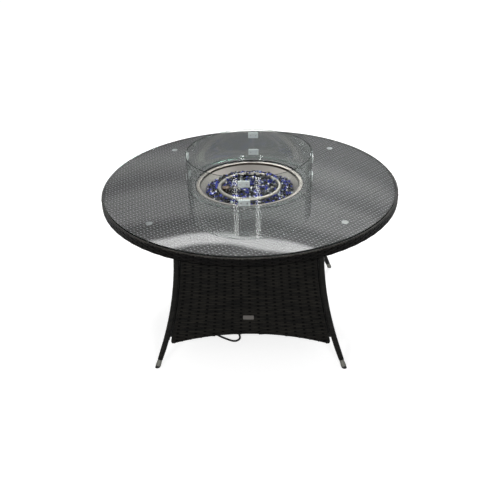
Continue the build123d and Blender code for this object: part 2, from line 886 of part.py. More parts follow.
# Bed of fire glass, heaped inside the ring and open round what stands in it
bed_slope = (pan_flange_radius - pan_flange_width - pan_floor_radius) / pan_depth
with BuildPart() as fire_glass:
    with BuildSketch(upright(0)):
        with BuildLine():
            Polyline(
                (0, pan_floor_z),
                (pan_floor_radius - bed_gap, pan_floor_z),
                (pan_floor_radius - bed_gap + bed_slope * bed_edge_height, pan_floor_z + bed_edge_height),
                (burner_radius, pan_floor_z + bed_edge_height),
                (burner_radius - 2 * burner_tube_radius, pan_floor_z + bed_heap_height),
                (0, pan_floor_z + bed_heap_height),
                close=True,
            )
        make_face()
    revolve(axis=Axis.Z)
    with BuildSketch(upright(0)):
        with Locations((burner_radius, burner_z)):
            Circle(burner_tube_radius + bed_gap)
    revolve(axis=Axis.Z, mode=Mode.SUBTRACT)
    with BuildSketch(Plane.YZ):
        with Locations((0, crossbar_z)):
            Rectangle(crossbar_width + 2 * bed_gap, crossbar_width + 2 * bed_gap)
    extrude(amount=burner_radius, both=True, mode=Mode.SUBTRACT)
    with BuildSketch(Plane.XY.offset(pan_floor_z)):
        Circle(hub_radius + bed_gap)
        with Locations((cover_x, cover_y)):
            Rectangle(cover_width + 2 * bed_gap, cover_depth + 2 * bed_gap)
    extrude(amount=bed_heap_height, mode=Mode.SUBTRACT)

# Heat shield under the pan, hung on four posts
with BuildPart() as heat_shield:
    with BuildSketch(upright(0)):
        with BuildLine():
            Polyline((0, shield_z), (shield_radius, shield_z), (shield_radius, shield_z + shield_lip))
            offset(amount=shield_sheet, side=Side.LEFT)
        make_face()
    revolve(axis=Axis.Z)

with BuildPart() as shield_posts:
    with BuildSketch(Plane.XY.offset(shield_z + shield_sheet)):
        with PolarLocations(post_ring_radius, post_count, start_angle=45):
            Circle(post_radius)
    extrude(amount=shield_drop - pan_sheet - shield_sheet)

# Feed pipe from the valve to the injector
with BuildPart() as feed_pipe:
    with BuildLine() as pipe_line:
        FilletPolyline(
            (0, 0, injector_z),
            (0, 0, pipe_z),
            (valve_x, valve_back / 2, pipe_z),
            (valve_x, valve_back, pipe_z),
            radius=pipe_bend,
        )
    with BuildSketch(Plane(pipe_line.line @ 0, z_dir=pipe_line.line % 0)):
        Circle(pipe_radius)
    sweep(path=pipe_line.line)

# Control plate screwed over the window in the back panel
with BuildPart() as control_plate:
    with BuildSketch(facing(90, plate_back)):
        with Locations((0, plate_z)):
            RectangleRounded(plate_width, plate_height, plate_round)
            with GridLocations(2 * control_screw_x, 2 * control_screw_z, 2, 2):
                Circle(screw_radius + screw_gap, mode=Mode.SUBTRACT)
        with Locations((-valve_x, plate_z)):
            Circle(valve_stem_radius + stem_hole_gap, mode=Mode.SUBTRACT)
        with Locations((-igniter_x, plate_z)):
            Circle(igniter_barrel_radius + igniter_hole_gap, mode=Mode.SUBTRACT)
    extrude(amount=plate_thickness)

with BuildPart() as control_screws:
    with BuildSketch(facing(90, plate_front - screw_length)):
        with Locations((0, plate_z)):
            with GridLocations(2 * control_screw_x, 2 * control_screw_z, 2, 2):
                Circle(screw_radius)
    extrude(amount=screw_length)
    with BuildSketch(facing(90, plate_front)):
        with Locations((0, plate_z)):
            with GridLocations(2 * control_screw_x, 2 * control_screw_z, 2, 2):
                Circle(screw_head_radius)
    extrude(amount=screw_head_height, taper=screw_head_taper)

# Gas valve behind the plate, bored for its stem and its safety pin
valve_bore_y = stem_inner_y - valve_push - valve_bore_margin
with BuildPart() as gas_valve:
    with BuildSketch(facing(90, valve_back)):
        with Locations((-valve_x, plate_z + (valve_above - valve_below) / 2)):
            RectangleRounded(valve_width, valve_above + valve_below, valve_round)
    extrude(amount=valve_length)
    with BuildSketch(facing(90, valve_front)):
        with Locations((-valve_x, plate_z)):
            Circle(valve_boss_radius)
    extrude(amount=plate_back - valve_front)
    with BuildSketch(facing(90, plate_back)):
        with Locations((-valve_x, plate_z)):
            Circle(valve_stem_radius + valve_gap)
    extrude(amount=valve_bore_y - plate_back, mode=Mode.SUBTRACT)
    with BuildSketch(facing(90, valve_bore_y)):
        with Locations((-valve_x, plate_z)):
            Circle(pin_radius + valve_gap)
    extrude(amount=stem_inner_y - pin_length - pin_room - valve_bore_y, mode=Mode.SUBTRACT)

with BuildPart() as valve_pin:
    with BuildSketch(facing(90, stem_inner_y - pin_length)):
        with Locations((-valve_x, plate_z)):
            Circle(pin_radius)
    extrude(amount=pin_length)

# Stem with a flat for the knob
stem_end_y = knob_face + valve_stem_outer - knob_cap
with BuildPart() as valve_stem:
    with BuildSketch(facing(90, stem_inner_y)):
        with Locations((-valve_x, plate_z)):
            Circle(valve_stem_radius)
    extrude(amount=stem_end_y - stem_inner_y)
    with BuildSketch(facing(90, knob_face)):
        with Locations((-valve_x, plate_z + 2 * valve_stem_radius - knob_flat)):
            Rectangle(2 * valve_stem_radius, 2 * valve_stem_radius)
    extrude(amount=valve_stem_outer, mode=Mode.SUBTRACT)

with BuildPart() as gas_knob:
    with BuildSketch(facing(90, knob_face)):
        with Locations((-valve_x, plate_z)):
            Circle(knob_radius)
    extrude(amount=knob_base)
    with BuildSketch(facing(90, knob_face + knob_base)) as knob_grip:
        with Locations((-valve_x, plate_z)):
            Circle(knob_radius - knob_edge)
            Rectangle(knob_grip_width, 2 * knob_radius, mode=Mode.INTERSECT)
    extrude(amount=knob_grip_height, taper=knob_draft)
    knob_top = gas_knob.faces().sort_by(Axis.Y)[-1]
    chamfer(knob_top.edges(), knob_arris)
    with BuildSketch(facing(90, knob_face)):
        with Locations((-valve_x, plate_z)):
            Circle(valve_stem_radius + valve_gap)
            with Locations((0, 2 * valve_stem_radius - knob_flat + valve_gap)):
                Rectangle(4 * valve_stem_radius, 2 * valve_stem_radius, mode=Mode.SUBTRACT)
    extrude(amount=valve_stem_outer - knob_cap, mode=Mode.SUBTRACT)

# Push-button igniter, its barrel through the plate and its nut behind
igniter_front = plate_front + igniter_bezel
button_front = igniter_front + button_proud
button_back = igniter_front - button_inner
with BuildPart() as igniter_body:
    with BuildSketch(facing(90, igniter_back)):
        with Locations((-igniter_x, plate_z)):
            Circle(igniter_barrel_radius)
    extrude(amount=igniter_length)
    with BuildSketch(facing(90, plate_front)):
        with Locations((-igniter_x, plate_z)):
            Circle(igniter_bezel_radius)
    extrude(amount=igniter_bezel)
    with BuildSketch(facing(90, igniter_front)):
        with Locations((-igniter_x, plate_z)):
            Circle(button_radius + button_gap)
    extrude(amount=-button_inner - button_room, mode=Mode.SUBTRACT)

with BuildPart() as igniter_button:
    with BuildSketch(facing(90, button_back)):
        with Locations((-igniter_x, plate_z)):
            Circle(button_radius)
    extrude(amount=button_front - button_back)
    fillet(igniter_button.edges().sort_by(Axis.Y)[-1], button_round)

with BuildPart() as igniter_nut:
    with BuildSketch(facing(90, plate_back)):
        with Locations((-igniter_x, plate_z)):
            RegularPolygon(igniter_nut_radius, 6)
            Circle(igniter_barrel_radius + valve_gap, mode=Mode.SUBTRACT)
    extrude(amount=-igniter_nut_height)

# Hose union under the valve, and the hose's nut with its crimped ferrule
with BuildPart() as hose_union:
    with BuildSketch(Plane.XY.offset(valve_bottom)):
        with Locations((valve_x, union_y)):
            RegularPolygon(union_hex_radius, 6)
    extrude(amount=-union_hex_height)
    with BuildSketch(Plane.XY.offset(valve_bottom - union_hex_height)):
        with Locations((valve_x, union_y)):
            Circle(union_spigot_radius)
    extrude(amount=-union_spigot_length)

with BuildPart() as hose_nut:
    with BuildSketch(Plane.XY.offset(ferrule_z + ferrule_length)):
        with Locations((valve_x, union_y)):
            RegularPolygon(hose_nut_radius, 6)
    extrude(amount=hose_nut_height)
    with BuildSketch(Plane.XY.offset(ferrule_z)):
        with Locations((valve_x, union_y)):
            Circle(ferrule_radius)
    extrude(amount=ferrule_length)
    with BuildSketch(Plane.XY.offset(valve_bottom - union_hex_height)):
        with Locations((valve_x, union_y)):
            Circle(union_spigot_radius + screw_gap)
    extrude(amount=-union_spigot_length - screw_gap, mode=Mode.SUBTRACT)

# Gas hose: down from the ferrule, then along the floor and up to the regulator
hose_points = [
    Vector(valve_x, union_y, ferrule_z),
    Vector(valve_x, union_y, 464),
    Vector(-38, 281, 335),
    Vector(-54, 274, 208),
    Vector(-72, 262, 98),
    Vector(-88, 240, 29),
    Vector(-108, 196, hose_radius),
    Vector(-148, 118, hose_radius),
    Vector(-198, 24, hose_radius),
    Vector(-228, -74, hose_radius),
    Vector(-220, -150, hose_radius),
    Vector(-172, -205, hose_radius),
    Vector(-122, -236, hose_radius),
    Vector(-92, -251, hose_radius),
    Vector(-75, -250, hose_radius),
    Vector(-61.5, -239.5, hose_radius),
    Vector(-56.5, -223, hose_radius),
    Vector(-65, -190, hose_radius),
    Vector(-81, -130, hose_radius),
    Vector(-86, -64, hose_radius),
    Vector(-75, -2, 17),
    Vector(regulator_x, 42, regulator_nose_z),
    Vector(regulator_x, regulator_y - regulator_nose_length, regulator_nose_z),
]
hose_radii = []
for before, point, after in zip(hose_points, hose_points[1:], hose_points[2:]):
    run = min((point - before).length, (after - point).length)
    turn = math.radians((point - before).get_angle(after - point))
    hose_radii.append(hose_bend_share * run / math.tan(turn / 2))
with BuildPart() as gas_hose:
    with BuildLine() as hose_line:
        FilletPolyline(*hose_points, radius=hose_radii)
    with BuildSketch(Plane(hose_line.line @ 0, z_dir=hose_line.line % 0)):
        Circle(hose_radius)
    sweep(path=hose_line.line)
hose_length = sum(edge.length for edge in hose_line.edges())
hose_volume = math.pi * hose_radius**2 * hose_length
print("hose length", round(hose_length), "radii", [round(radius) for radius in hose_radii])
print("hose volume against section times length", round(gas_hose.part.volume / hose_volume, 4))

# Clip-on regulator standing on the floor, with the socket for the bottle's valve
regulator_top_z = regulator_skirt_height + regulator_body_height
with BuildPart() as regulator_body:
    with BuildSketch(Plane.XY):
        with Locations((regulator_x, regulator_y)):
            Circle(regulator_skirt_radius)
    extrude(amount=regulator_skirt_height)
    with BuildSketch(Plane.XY.offset(regulator_skirt_height)):
        with Locations((regulator_x, regulator_y)):
            Circle(regulator_radius)
    extrude(amount=regulator_body_height)
    fillet(regulator_body.edges().filter_by(GeomType.CIRCLE).group_by(Axis.Z)[-1], regulator_round)
    with BuildSketch(Plane.XZ.offset(-regulator_y)):
        with Locations((regulator_x, regulator_nose_z)):
            Circle(regulator_nose_radius)
    extrude(amount=regulator_nose_length)
    with BuildSketch(Plane.XZ.offset(-regulator_y)):
        with Locations((regulator_x, regulator_nose_z)):
            RegularPolygon(regulator_hex_radius, 6)
    extrude(amount=regulator_radius + regulator_hex_length)
    with BuildSketch(Plane.XY.offset(regulator_top_z)):
        with Locations((regulator_x, regulator_y)):
            Circle(tap_pin_radius)
    extrude(amount=tap_pin_height)
    with BuildSketch(Plane.XY):
        with Locations((regulator_x, regulator_y)):
            Circle(regulator_socket_radius)
    extrude(amount=regulator_socket_depth, mode=Mode.SUBTRACT)

with BuildPart() as regulator_tap:
    with BuildSketch(Plane.XY.offset(regulator_top_z + tap_gap)):
        with Locations((regulator_x, regulator_y)):
            Circle(tap_radius)
    extrude(amount=tap_height)
    with BuildSketch(Plane.XY.offset(regulator_top_z + tap_gap + tap_height)):
        with Locations((regulator_x, regulator_y)):
            SlotOverall(tap_grip_length, tap_grip_width)
    extrude(amount=tap_grip_height)
    with BuildSketch(Plane.XY.offset(regulator_top_z + tap_gap)):
        with Locations((regulator_x, regulator_y)):
            Circle(tap_pin_radius + tap_pin_gap)
    extrude(amount=tap_pin_height, mode=Mode.SUBTRACT)

# Wind guard: four curved glass panels, drilled for their clips
guard_mid_radius = guard_radius - guard_glass / 2
guard_joints = [guard_turn + 90 * number for number in range(guard_panels)]
guard_span = 360 / guard_panels
gap_angle = math.degrees(guard_gap / guard_mid_radius)
screw_angle = math.degrees(clip_screw_spread / 2 / guard_mid_radius)
clip_angle = math.degrees(clip_width / guard_mid_radius)
guard_glass_z = table_height + guard_foot
guard_top_z = table_height + guard_height
clip_levels = (table_height + clip_margin, guard_top_z - clip_margin)
guard_names = ("back_right", "back_left", "front_left", "front_right")
guard_glasses = {}
for name, joint in zip(guard_names, guard_joints):
    holes = [
        radial(angle, guard_mid_radius - guard_glass, level)
        for angle in (joint + screw_angle, joint + guard_span - screw_angle)
        for level in clip_levels
    ]
    with BuildPart() as guard_pane:
        with BuildSketch(upright(joint + gap_angle / 2)):
            with Locations((guard_mid_radius, (guard_glass_z + guard_top_z) / 2)):
                Rectangle(guard_glass, guard_top_z - guard_glass_z)
        revolve(axis=Axis.Z, revolution_arc=guard_span - gap_angle)
        with BuildSketch(*holes):
            Circle(clip_glass_hole_radius)
        extrude(amount=2 * guard_glass, mode=Mode.SUBTRACT)
    guard_glasses[name] = guard_pane


def guard_strips(inner, outer, bored):
    """Curved clip pieces between two radii at every joint and both levels."""
    with BuildPart() as strips:
        for joint in guard_joints:
            with BuildSketch(upright(joint - clip_angle / 2)):
                for level in clip_levels:
                    with Locations(((inner + outer) / 2, level)):
                        Rectangle(outer - inner, clip_height)
            revolve(axis=Axis.Z, revolution_arc=clip_angle)
        with BuildSketch(*clip_screw_planes(inner - clip_plate)):
            Circle(bored)
        extrude(amount=outer - inner + 2 * clip_plate, mode=Mode.SUBTRACT)
    return strips


def clip_screw_planes(distance):
    """Planes on the axes of all clip screws, at a distance from the guard's axis."""
    return [
        radial(joint + offset, distance, level)
        for joint in guard_joints
        for offset in (-screw_angle, screw_angle)
        for level in clip_levels
    ]


guard_inner = guard_radius - guard_glass
clip_outer = guard_radius + clip_gasket
clip_inner = guard_inner - clip_gasket
clip_bore = clip_screw_radius + clip_screw_gap
clip_outer_plates = guard_strips(clip_outer, clip_outer + clip_plate, clip_bore)
clip_inner_plates = guard_strips(clip_inner - clip_plate, clip_inner, clip_bore)
outer_gaskets = guard_strips(guard_radius, clip_outer, clip_bore)
inner_gaskets = guard_strips(clip_inner, guard_inner, clip_bore)
with BuildPart() as clip_gaskets:
    add(outer_gaskets.part)
    add(inner_gaskets.part)

# Clip screws, from the outer plate through the glass to the inner one
screw_seat = clip_outer + clip_plate
with BuildPart() as clip_screws:
    with BuildSketch(*clip_screw_planes(clip_inner - clip_plate)):
        Circle(clip_screw_radius)
    extrude(amount=screw_seat - clip_inner + clip_plate + clip_screw_head)
    with BuildSketch(*clip_screw_planes(screw_seat)):
        Circle(clip_screw_head_radius)
    extrude(amount=clip_screw_head)

# Clear feet under the guard's panes
with BuildPart() as guard_feet:
    for joint in guard_joints:
        for start in (guard_foot_inset, guard_span - guard_foot_inset - guard_foot_angle):
            with BuildSketch(upright(joint + start)):
                with Locations((guard_mid_radius, table_height + guard_foot / 2)):
                    Rectangle(guard_glass, guard_foot)
            revolve(axis=Axis.Z, revolution_arc=guard_foot_angle)

pieces = {
    "table_glass": table_glass,
    "glass_pads": glass_pads,
    "woven_deck": woven_deck,
    "woven_rim": woven_rim,
    "top_ring": top_ring,
    "hub_ring": hub_ring,
    "spokes": spokes,
    "base_rails": base_rails,
    "leg_tubes": leg_tubes,
    "foot_caps": foot_caps,
    "foot_glides": foot_glides,
    "corner_plates": corner_plates,
    "frame_bolts": frame_bolts,
    "flap_hooks": flap_hooks,
    "fire_pan": fire_pan,
    "burner_ring": burner_ring,
    "burner_locknut": burner_locknut,
    "air_mixer": air_mixer,
    "pilot_cover": pilot_cover,
    "spark_electrode": spark_electrode,
    "flame_sensor": flame_sensor,
    "fire_glass": fire_glass,
    "heat_shield": heat_shield,
    "shield_posts": shield_posts,
    "feed_pipe": feed_pipe,
    "control_plate": control_plate,
    "control_screws": control_screws,
    "gas_valve": gas_valve,
    "valve_pin": valve_pin,
    "valve_stem": valve_stem,
    "gas_knob": gas_knob,
    "igniter_body": igniter_body,
    "igniter_button": igniter_button,
    "igniter_nut": igniter_nut,
    "hose_union": hose_union,
    "hose_nut": hose_nut,
    "gas_hose": gas_hose,
    "regulator_body": regulator_body,
    "regulator_tap": regulator_tap,
    "clip_outer_plates": clip_outer_plates,
    "clip_inner_plates": clip_inner_plates,
    "clip_gaskets": clip_gaskets,
    "clip_screws": clip_screws,
    "guard_feet": guard_feet,
}
for corner, leg_wrap in leg_wraps.items():
    pieces["leg_" + corner] = leg_wrap
for side in sides:
    panel = "flap" if side == "right" else side + "_panel"
    pieces[panel + "_weave"] = weaves[side]
    pieces[panel + "_frame"] = frames[side]
for name, guard_pane in guard_glasses.items():
    pieces["guard_glass_" + name] = guard_pane
for name, piece in pieces.items():
    piece.part.label = name
    export_step(piece.part, f"parts/{name}.step")
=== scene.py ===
import bmesh
import bpy
import json
import math
import random
from mathutils import Matrix, Vector


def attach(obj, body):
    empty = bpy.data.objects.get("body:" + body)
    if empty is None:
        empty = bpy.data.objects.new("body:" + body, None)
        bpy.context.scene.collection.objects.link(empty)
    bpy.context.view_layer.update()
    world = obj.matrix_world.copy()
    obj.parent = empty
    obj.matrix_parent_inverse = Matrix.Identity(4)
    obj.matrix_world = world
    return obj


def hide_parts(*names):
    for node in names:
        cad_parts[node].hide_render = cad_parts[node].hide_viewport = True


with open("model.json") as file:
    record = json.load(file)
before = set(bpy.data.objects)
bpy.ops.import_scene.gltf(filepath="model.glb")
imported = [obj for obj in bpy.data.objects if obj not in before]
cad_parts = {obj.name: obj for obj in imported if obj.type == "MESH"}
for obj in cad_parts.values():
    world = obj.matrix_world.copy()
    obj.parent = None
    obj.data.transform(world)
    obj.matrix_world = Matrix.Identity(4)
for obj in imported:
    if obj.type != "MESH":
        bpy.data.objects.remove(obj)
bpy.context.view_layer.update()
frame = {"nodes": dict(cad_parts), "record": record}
nodes = frame["nodes"]
mm = 0.001
print("frame loaded:", len(nodes), "nodes")

scene = bpy.context.scene
scene.view_settings.view_transform = "Standard"


def srgb(code):
    channels = [int(code[i:i + 2], 16) / 255 for i in (1, 3, 5)]
    return (*[c / 12.92 if c <= 0.04045 else ((c + 0.055) / 1.055) ** 2.4 for c in channels], 1)


def addNode(tree, kind, inputs=None, **settings):
    node = tree.nodes.new(kind)
    for name, value in settings.items():
        setattr(node, name, value)
    for socket, value in (inputs or {}).items():
        if isinstance(value, bpy.types.NodeSocket):
            tree.links.new(value, node.inputs[socket])
        else:
            node.inputs[socket].default_value = value
    return node


def addMath(tree, operation, *values):
    return addNode(tree, "ShaderNodeMath", dict(enumerate(values)), operation=operation).outputs[0]


def mixColour(tree, share, first, second):
    inputs = {"Factor": share, "A": first, "B": second}
    return addNode(tree, "ShaderNodeMix", inputs, data_type="RGBA").outputs["Result"]


def newMaterial(name, **sockets):
    material = bpy.data.materials.new(name)
    material.use_nodes = True
    shader = material.node_tree.nodes["Principled BSDF"]
    for socket, value in sockets.items():
        shader.inputs[socket.replace("_", " ")].default_value = value
    return material, material.node_tree, shader


def twoTone(tree, shader, coordinate, spotSize, dark, light, detail=4):
    # slow change of colour over the surface, from dark to light, in the middle of the noise's range
    spots = addNode(tree, "ShaderNodeTexNoise", {
        "Vector": coordinate, "Scale": 1 / spotSize, "Detail": detail})
    ramp = addNode(tree, "ShaderNodeValToRGB", {"Fac": spots.outputs["Fac"]})
    for stop, position, colour in zip(ramp.color_ramp.elements, (0.35, 0.65), (dark, light)):
        stop.position = position
        stop.color = srgb(colour)
    tree.links.new(ramp.outputs["Color"], shader.inputs["Base Color"])


def addBump(tree, shader, height, distance, strength):
    bump = addNode(tree, "ShaderNodeBump", {"Height": height, "Distance": distance, "Strength": strength})
    tree.links.new(bump.outputs["Normal"], shader.inputs["Normal"])


strandLook = {
    "toneSize": 8 * mm,  # size of the tones across a level strand
    "toneStretch": 10,  # and how many times longer they run along it
    "crownMiddle": 0.375,  # the flat crown's place on the way round the profile
    "crownHalf": 0.1,
    "slopeEnd": 0.24,
    # painted shade colour for a flat strand's sloped sides
    "slopeShadeColour": "#020202",
    "grooves": 40.0,
    "grooveDepth": 0.12 * mm,
}


def makeRattan(name, dark, light, gloss, paintSlopeShade=False):
    # extruded resin strand: satin, with fine grooves along it and slow changes of tone, and painted shade
    # on a flat strand's sloped sides when asked
    material, tree, shader = newMaterial(name, Roughness=0.42, IOR=1.5, Specular_IOR_Level=gloss)
    place = addNode(tree, "ShaderNodeTexCoord")
    stretch = 1 / strandLook["toneStretch"]
    streak = addNode(tree, "ShaderNodeMapping", {
        "Vector": place.outputs["Object"], "Scale": (stretch, stretch, 1.0)})
    twoTone(tree, shader, streak.outputs["Vector"], strandLook["toneSize"], dark, light, 2)
    split = addNode(tree, "ShaderNodeSeparateXYZ", {"Vector": place.outputs["UV"]})
    if paintSlopeShade:
        # painted shade: the sloped sides of a flat strand are coloured near black as if in shade, so that
        # each row reads on its own
        tone = shader.inputs["Base Color"].links[0].from_socket
        away = addMath(tree, "SUBTRACT", split.outputs["Y"], strandLook["crownMiddle"])
        crown = addNode(tree, "ShaderNodeMapRange", {
            "Value": addMath(tree, "ABSOLUTE", away), "From Min": strandLook["slopeEnd"],
            "From Max": strandLook["crownHalf"], "To Min": 0.0, "To Max": 1.0})
        colour = mixColour(tree, crown.outputs["Result"], srgb(strandLook["slopeShadeColour"]), tone)
        tree.links.new(colour, shader.inputs["Base Color"])
    grooves = addMath(tree, "MULTIPLY", split.outputs["Y"], strandLook["grooves"])
    addBump(tree, shader, addMath(tree, "SINE", grooves), strandLook["grooveDepth"], 0.6)
    return material


def makeGlass(name, tint, edgeTint, middle, radial=False, roughness=0.0):
    # toughened glass: clear through the sheet, green where the edge is looked into
    # middle is the height, or the radius, of the sheet's own middle, and only edges come near it
    edgeHalf = 2.44 * mm
    material, tree, shader = newMaterial(name, Roughness=roughness, IOR=1.5, Transmission_Weight=1.0)
    place = addNode(tree, "ShaderNodeTexCoord")
    split = addNode(tree, "ShaderNodeSeparateXYZ", {"Vector": place.outputs["Object"]})
    level = split.outputs["Z"]
    if radial:
        flat = addNode(tree, "ShaderNodeCombineXYZ", {"X": split.outputs["X"], "Y": split.outputs["Y"]})
        length = addNode(tree, "ShaderNodeVectorMath", {0: flat.outputs[0]}, operation="LENGTH")
        level = length.outputs["Value"]
    away = addMath(tree, "ABSOLUTE", addMath(tree, "SUBTRACT", level, middle))
    edge = addMath(tree, "LESS_THAN", away, edgeHalf)
    tree.links.new(mixColour(tree, edge, srgb(tint), srgb(edgeTint)), shader.inputs["Base Color"])
    clear = addNode(tree, "ShaderNodeBsdfTransparent", {"Color": srgb("#f3f5f5")})
    path = addNode(tree, "ShaderNodeLightPath")
    mix = addNode(tree, "ShaderNodeMixShader", {
        0: path.outputs["Is Shadow Ray"], 1: shader.outputs["BSDF"], 2: clear.outputs["BSDF"]})
    tree.links.new(mix.outputs["Shader"], tree.nodes["Material Output"].inputs["Surface"])
    return material


def makeClear(name, tint, roughness):
    # soft clear rubber: light passes, blurred by its moulded skin
    material, tree, shader = newMaterial(name, Roughness=roughness, IOR=1.42, Transmission_Weight=0.7)
    place = addNode(tree, "ShaderNodeTexCoord")
    twoTone(tree, shader, place.outputs["Object"], 8.33 * mm, "#dfe4e1", tint)
    return material


def makeDeckGlintRattan(name, dark, light, low, high):
    # painted highlight: the crown of each float is coloured light, standing in for its glint through the
    # glass, and the dips between keep the strand's dark colour
    crownPower = 1.5
    material, tree, shader = newMaterial(name, Roughness=0.4, IOR=1.5, Specular_IOR_Level=0.15)
    place = addNode(tree, "ShaderNodeTexCoord")
    split = addNode(tree, "ShaderNodeSeparateXYZ", {"Vector": place.outputs["Object"]})
    crown = addNode(tree, "ShaderNodeMapRange", {
        "Value": split.outputs["Z"], "From Min": low, "From Max": high})
    crown = addMath(tree, "POWER", crown.outputs["Result"], crownPower)
    tree.links.new(mixColour(tree, crown, srgb(dark), srgb(light)), shader.inputs["Base Color"])
    return material


metalLook = {
    "wearBelow": 0.06,  # roughness wanders this far from its own value
    "wearAbove": 0.1,
    "spotDepth": 0.05 * mm,
    "ringDepth": 0.03 * mm,
    "ringSpacing": math.pi / 10,  # of the wave texture's rings at scale 1
}


def makeMetal(name, colour, roughness, ringPitch=0.0, spotSize=16.67 * mm, metallic=1.0):
    # bare metal with faint wear, and a ring pitch gives the turned or spun grain round the Z axis
    material, tree, shader = newMaterial(name, Metallic=metallic, Roughness=roughness)
    place = addNode(tree, "ShaderNodeTexCoord")
    spots = addNode(tree, "ShaderNodeTexNoise", {
        "Vector": place.outputs["Object"], "Scale": 1 / spotSize, "Detail": 5})
    wear = addNode(tree, "ShaderNodeMapRange", {
        "Value": spots.outputs["Fac"], "To Min": roughness - metalLook["wearBelow"],
        "To Max": roughness + metalLook["wearAbove"]})
    tree.links.new(wear.outputs["Result"], shader.inputs["Roughness"])
    shader.inputs["Base Color"].default_value = srgb(colour)
    if ringPitch:
        shader.inputs["Anisotropic"].default_value = 0.6
        around = addNode(tree, "ShaderNodeTangent", direction_type="RADIAL", axis="Z")
        tree.links.new(around.outputs["Tangent"], shader.inputs["Tangent"])
        grain = addNode(tree, "ShaderNodeTexWave", {
            "Vector": place.outputs["Object"], "Scale": metalLook["ringSpacing"] / ringPitch,
            "Distortion": 1.5, "Detail": 2}, wave_type="RINGS", rings_direction="Z")
        addBump(tree, shader, grain.outputs["Fac"], metalLook["ringDepth"], 0.5)
    else:
        addBump(tree, shader, spots.outputs["Fac"], metalLook["spotDepth"], 0.4)
    return material


def makePaint(name, dark, light, roughness, grain, depth):
    # coats, rubber and moulded plastic: grain is the size of the surface's texture
    material, tree, shader = newMaterial(name, Roughness=roughness)
    place = addNode(tree, "ShaderNodeTexCoord")
    twoTone(tree, shader, place.outputs["Object"], 33.33 * mm, dark, light)
    skin = addNode(tree, "ShaderNodeTexNoise", {
        "Vector": place.outputs["Object"], "Scale": 1 / grain, "Detail": 3})
    addBump(tree, shader, skin.outputs["Fac"], depth, 0.5)
    return material


def makeChip(name, tint, transmission):
    # tumbled glass chip: hard glints on its facets, colour deep inside
    material, tree, shader = newMaterial(name, Roughness=0.12, IOR=1.5, Transmission_Weight=transmission)
    place = addNode(tree, "ShaderNodeTexCoord")
    twoTone(tree, shader, place.outputs["Object"], 18.18 * mm, *tint, detail=2)
    return material


rattan = makeRattan("wovenResinRattan", "#070706", "#211f1b", 0.09, paintSlopeShade=True)
# painted shade: the rim's strand is coloured darker than the same strand in the panels, against the light
# it catches at a grazing angle
rimShadeRattan = makeRattan("rimResinRattan", "#030303", "#13110f", 0.06, paintSlopeShade=True)
woundRattan = makeRattan("woundResinRattan", "#090908", "#1b1a18", 0.12)
# painted shade: the stakes lie under the strands and are coloured near black
stakeShadeRattan = makeRattan("shadedResinStake", "#030303", "#080807", 0.03)
rattanTrim = makeRattan("wrappedResinTrim", "#12100e", "#2e2b26", 0.25)  # rim braid, a little browner
# painted highlight: light crowns over dark dips, by height
deckGlintRattan = makeDeckGlintRattan("wovenDeckPaintedGlintRattan", "#060606", "#a9abad", 741.85 * mm, 742.3 * mm)
glassMiddle = 747.5 * mm  # height halfway through the table's glass
guardMiddle = 286.2 * mm  # radius halfway through the guard's panes
glassTop = makeGlass("toughenedTableGlass", "#fcfdfd", "#1d3a30", glassMiddle)
guardGlass = makeGlass(
    "toughenedGuardGlass", "#f7faf8", "#31594a", guardMiddle, radial=True, roughness=0.06)
groundEnd = makeGlass(  # pale streak down the end of each pane
    "groundPaneEnd", "#c6d8d1", "#c6d8d1", guardMiddle, radial=True, roughness=0.35)
stainless = makeMetal("brushedStainless", "#bdb8b2", 0.34, ringPitch=8.8 * mm)
flangeReflectionSteel = makeMetal("flangePaintedReflectionStainless", "#78736e", 0.4)  # painted reflection: the flange is coloured darker, standing in for the darker room it mirrors
stepShadeSteel = makeMetal("stepPaintedShadeStainless", "#37332f", 0.32, ringPitch=8.8 * mm)  # painted shade: the short step is coloured dark for the shade and dark reflections in it, a dark line inside the flange
burnerSteel = makeMetal("weldedBurnerTube", "#aca89f", 0.28)  # bright ring among the chips
meshSteel = makeMetal("heatTintedSteel", "#55473b", 0.45)  # brownish cover of the ignition
slotMaterials = {
    "tempered_glass": guardGlass,
    "clear_rubber": makeClear("clearSiliconeRubber", "#f4f7f5", 0.12),
    "rattan": woundRattan,
    "coated_frame": makePaint("blackPowderCoat", "#121212", "#1c1c1b", 0.5, 0.8 * mm, 0.05 * mm),
    "cast_aluminium": makeMetal("blastedCastAluminium", "#7d7d77", 0.5, spotSize=2.5 * mm),
    "black_rubber": makePaint("blackRubber", "#0b0b0b", "#141414", 0.6, 0.6 * mm, 0.04 * mm),
    "brushed_stainless": stainless,
    "clip_steel": makeMetal("satinNickelClip", "#bcc3c2", 0.42, metallic=0.6),
    "fasteners": makeMetal("brightZinc", "#a9a9a9", 0.25),
    "galvanised": makeMetal("galvanisedSheet", "#9b9d9d", 0.4, spotSize=12.5 * mm),
    "fire_glass": makeChip("cobaltFireGlass", ("#11154f", "#3440b8"), 0.06),
    "brass": makeMetal("turnedBrass", "#c79e57", 0.3),
    "copper_pipe": makeMetal("drawnCopper", "#b8734d", 0.3),
    "ceramic": makePaint("whiteGlazedCeramic", "#dddad2", "#ebe8e1", 0.2, 0.5 * mm, 0.01 * mm),
    "black_plastic": makePaint("mouldedBlackPlastic", "#0d0d0d", "#171717", 0.4, 0.5 * mm, 0.03 * mm),
    "die_cast": makePaint("lacqueredZincCasting", "#65676b", "#73767a", 0.38, 0.9 * mm, 0.05 * mm),
}
nodeMaterials = {
    "table_glass": glassTop,
    "burner_ring": burnerSteel,
    "pilot_cover": meshSteel,
    "glass_pads": makePaint("frostedSiliconePad", "#9ea1a1", "#bec1c1", 0.35, 0.8 * mm, 0.02 * mm),
}
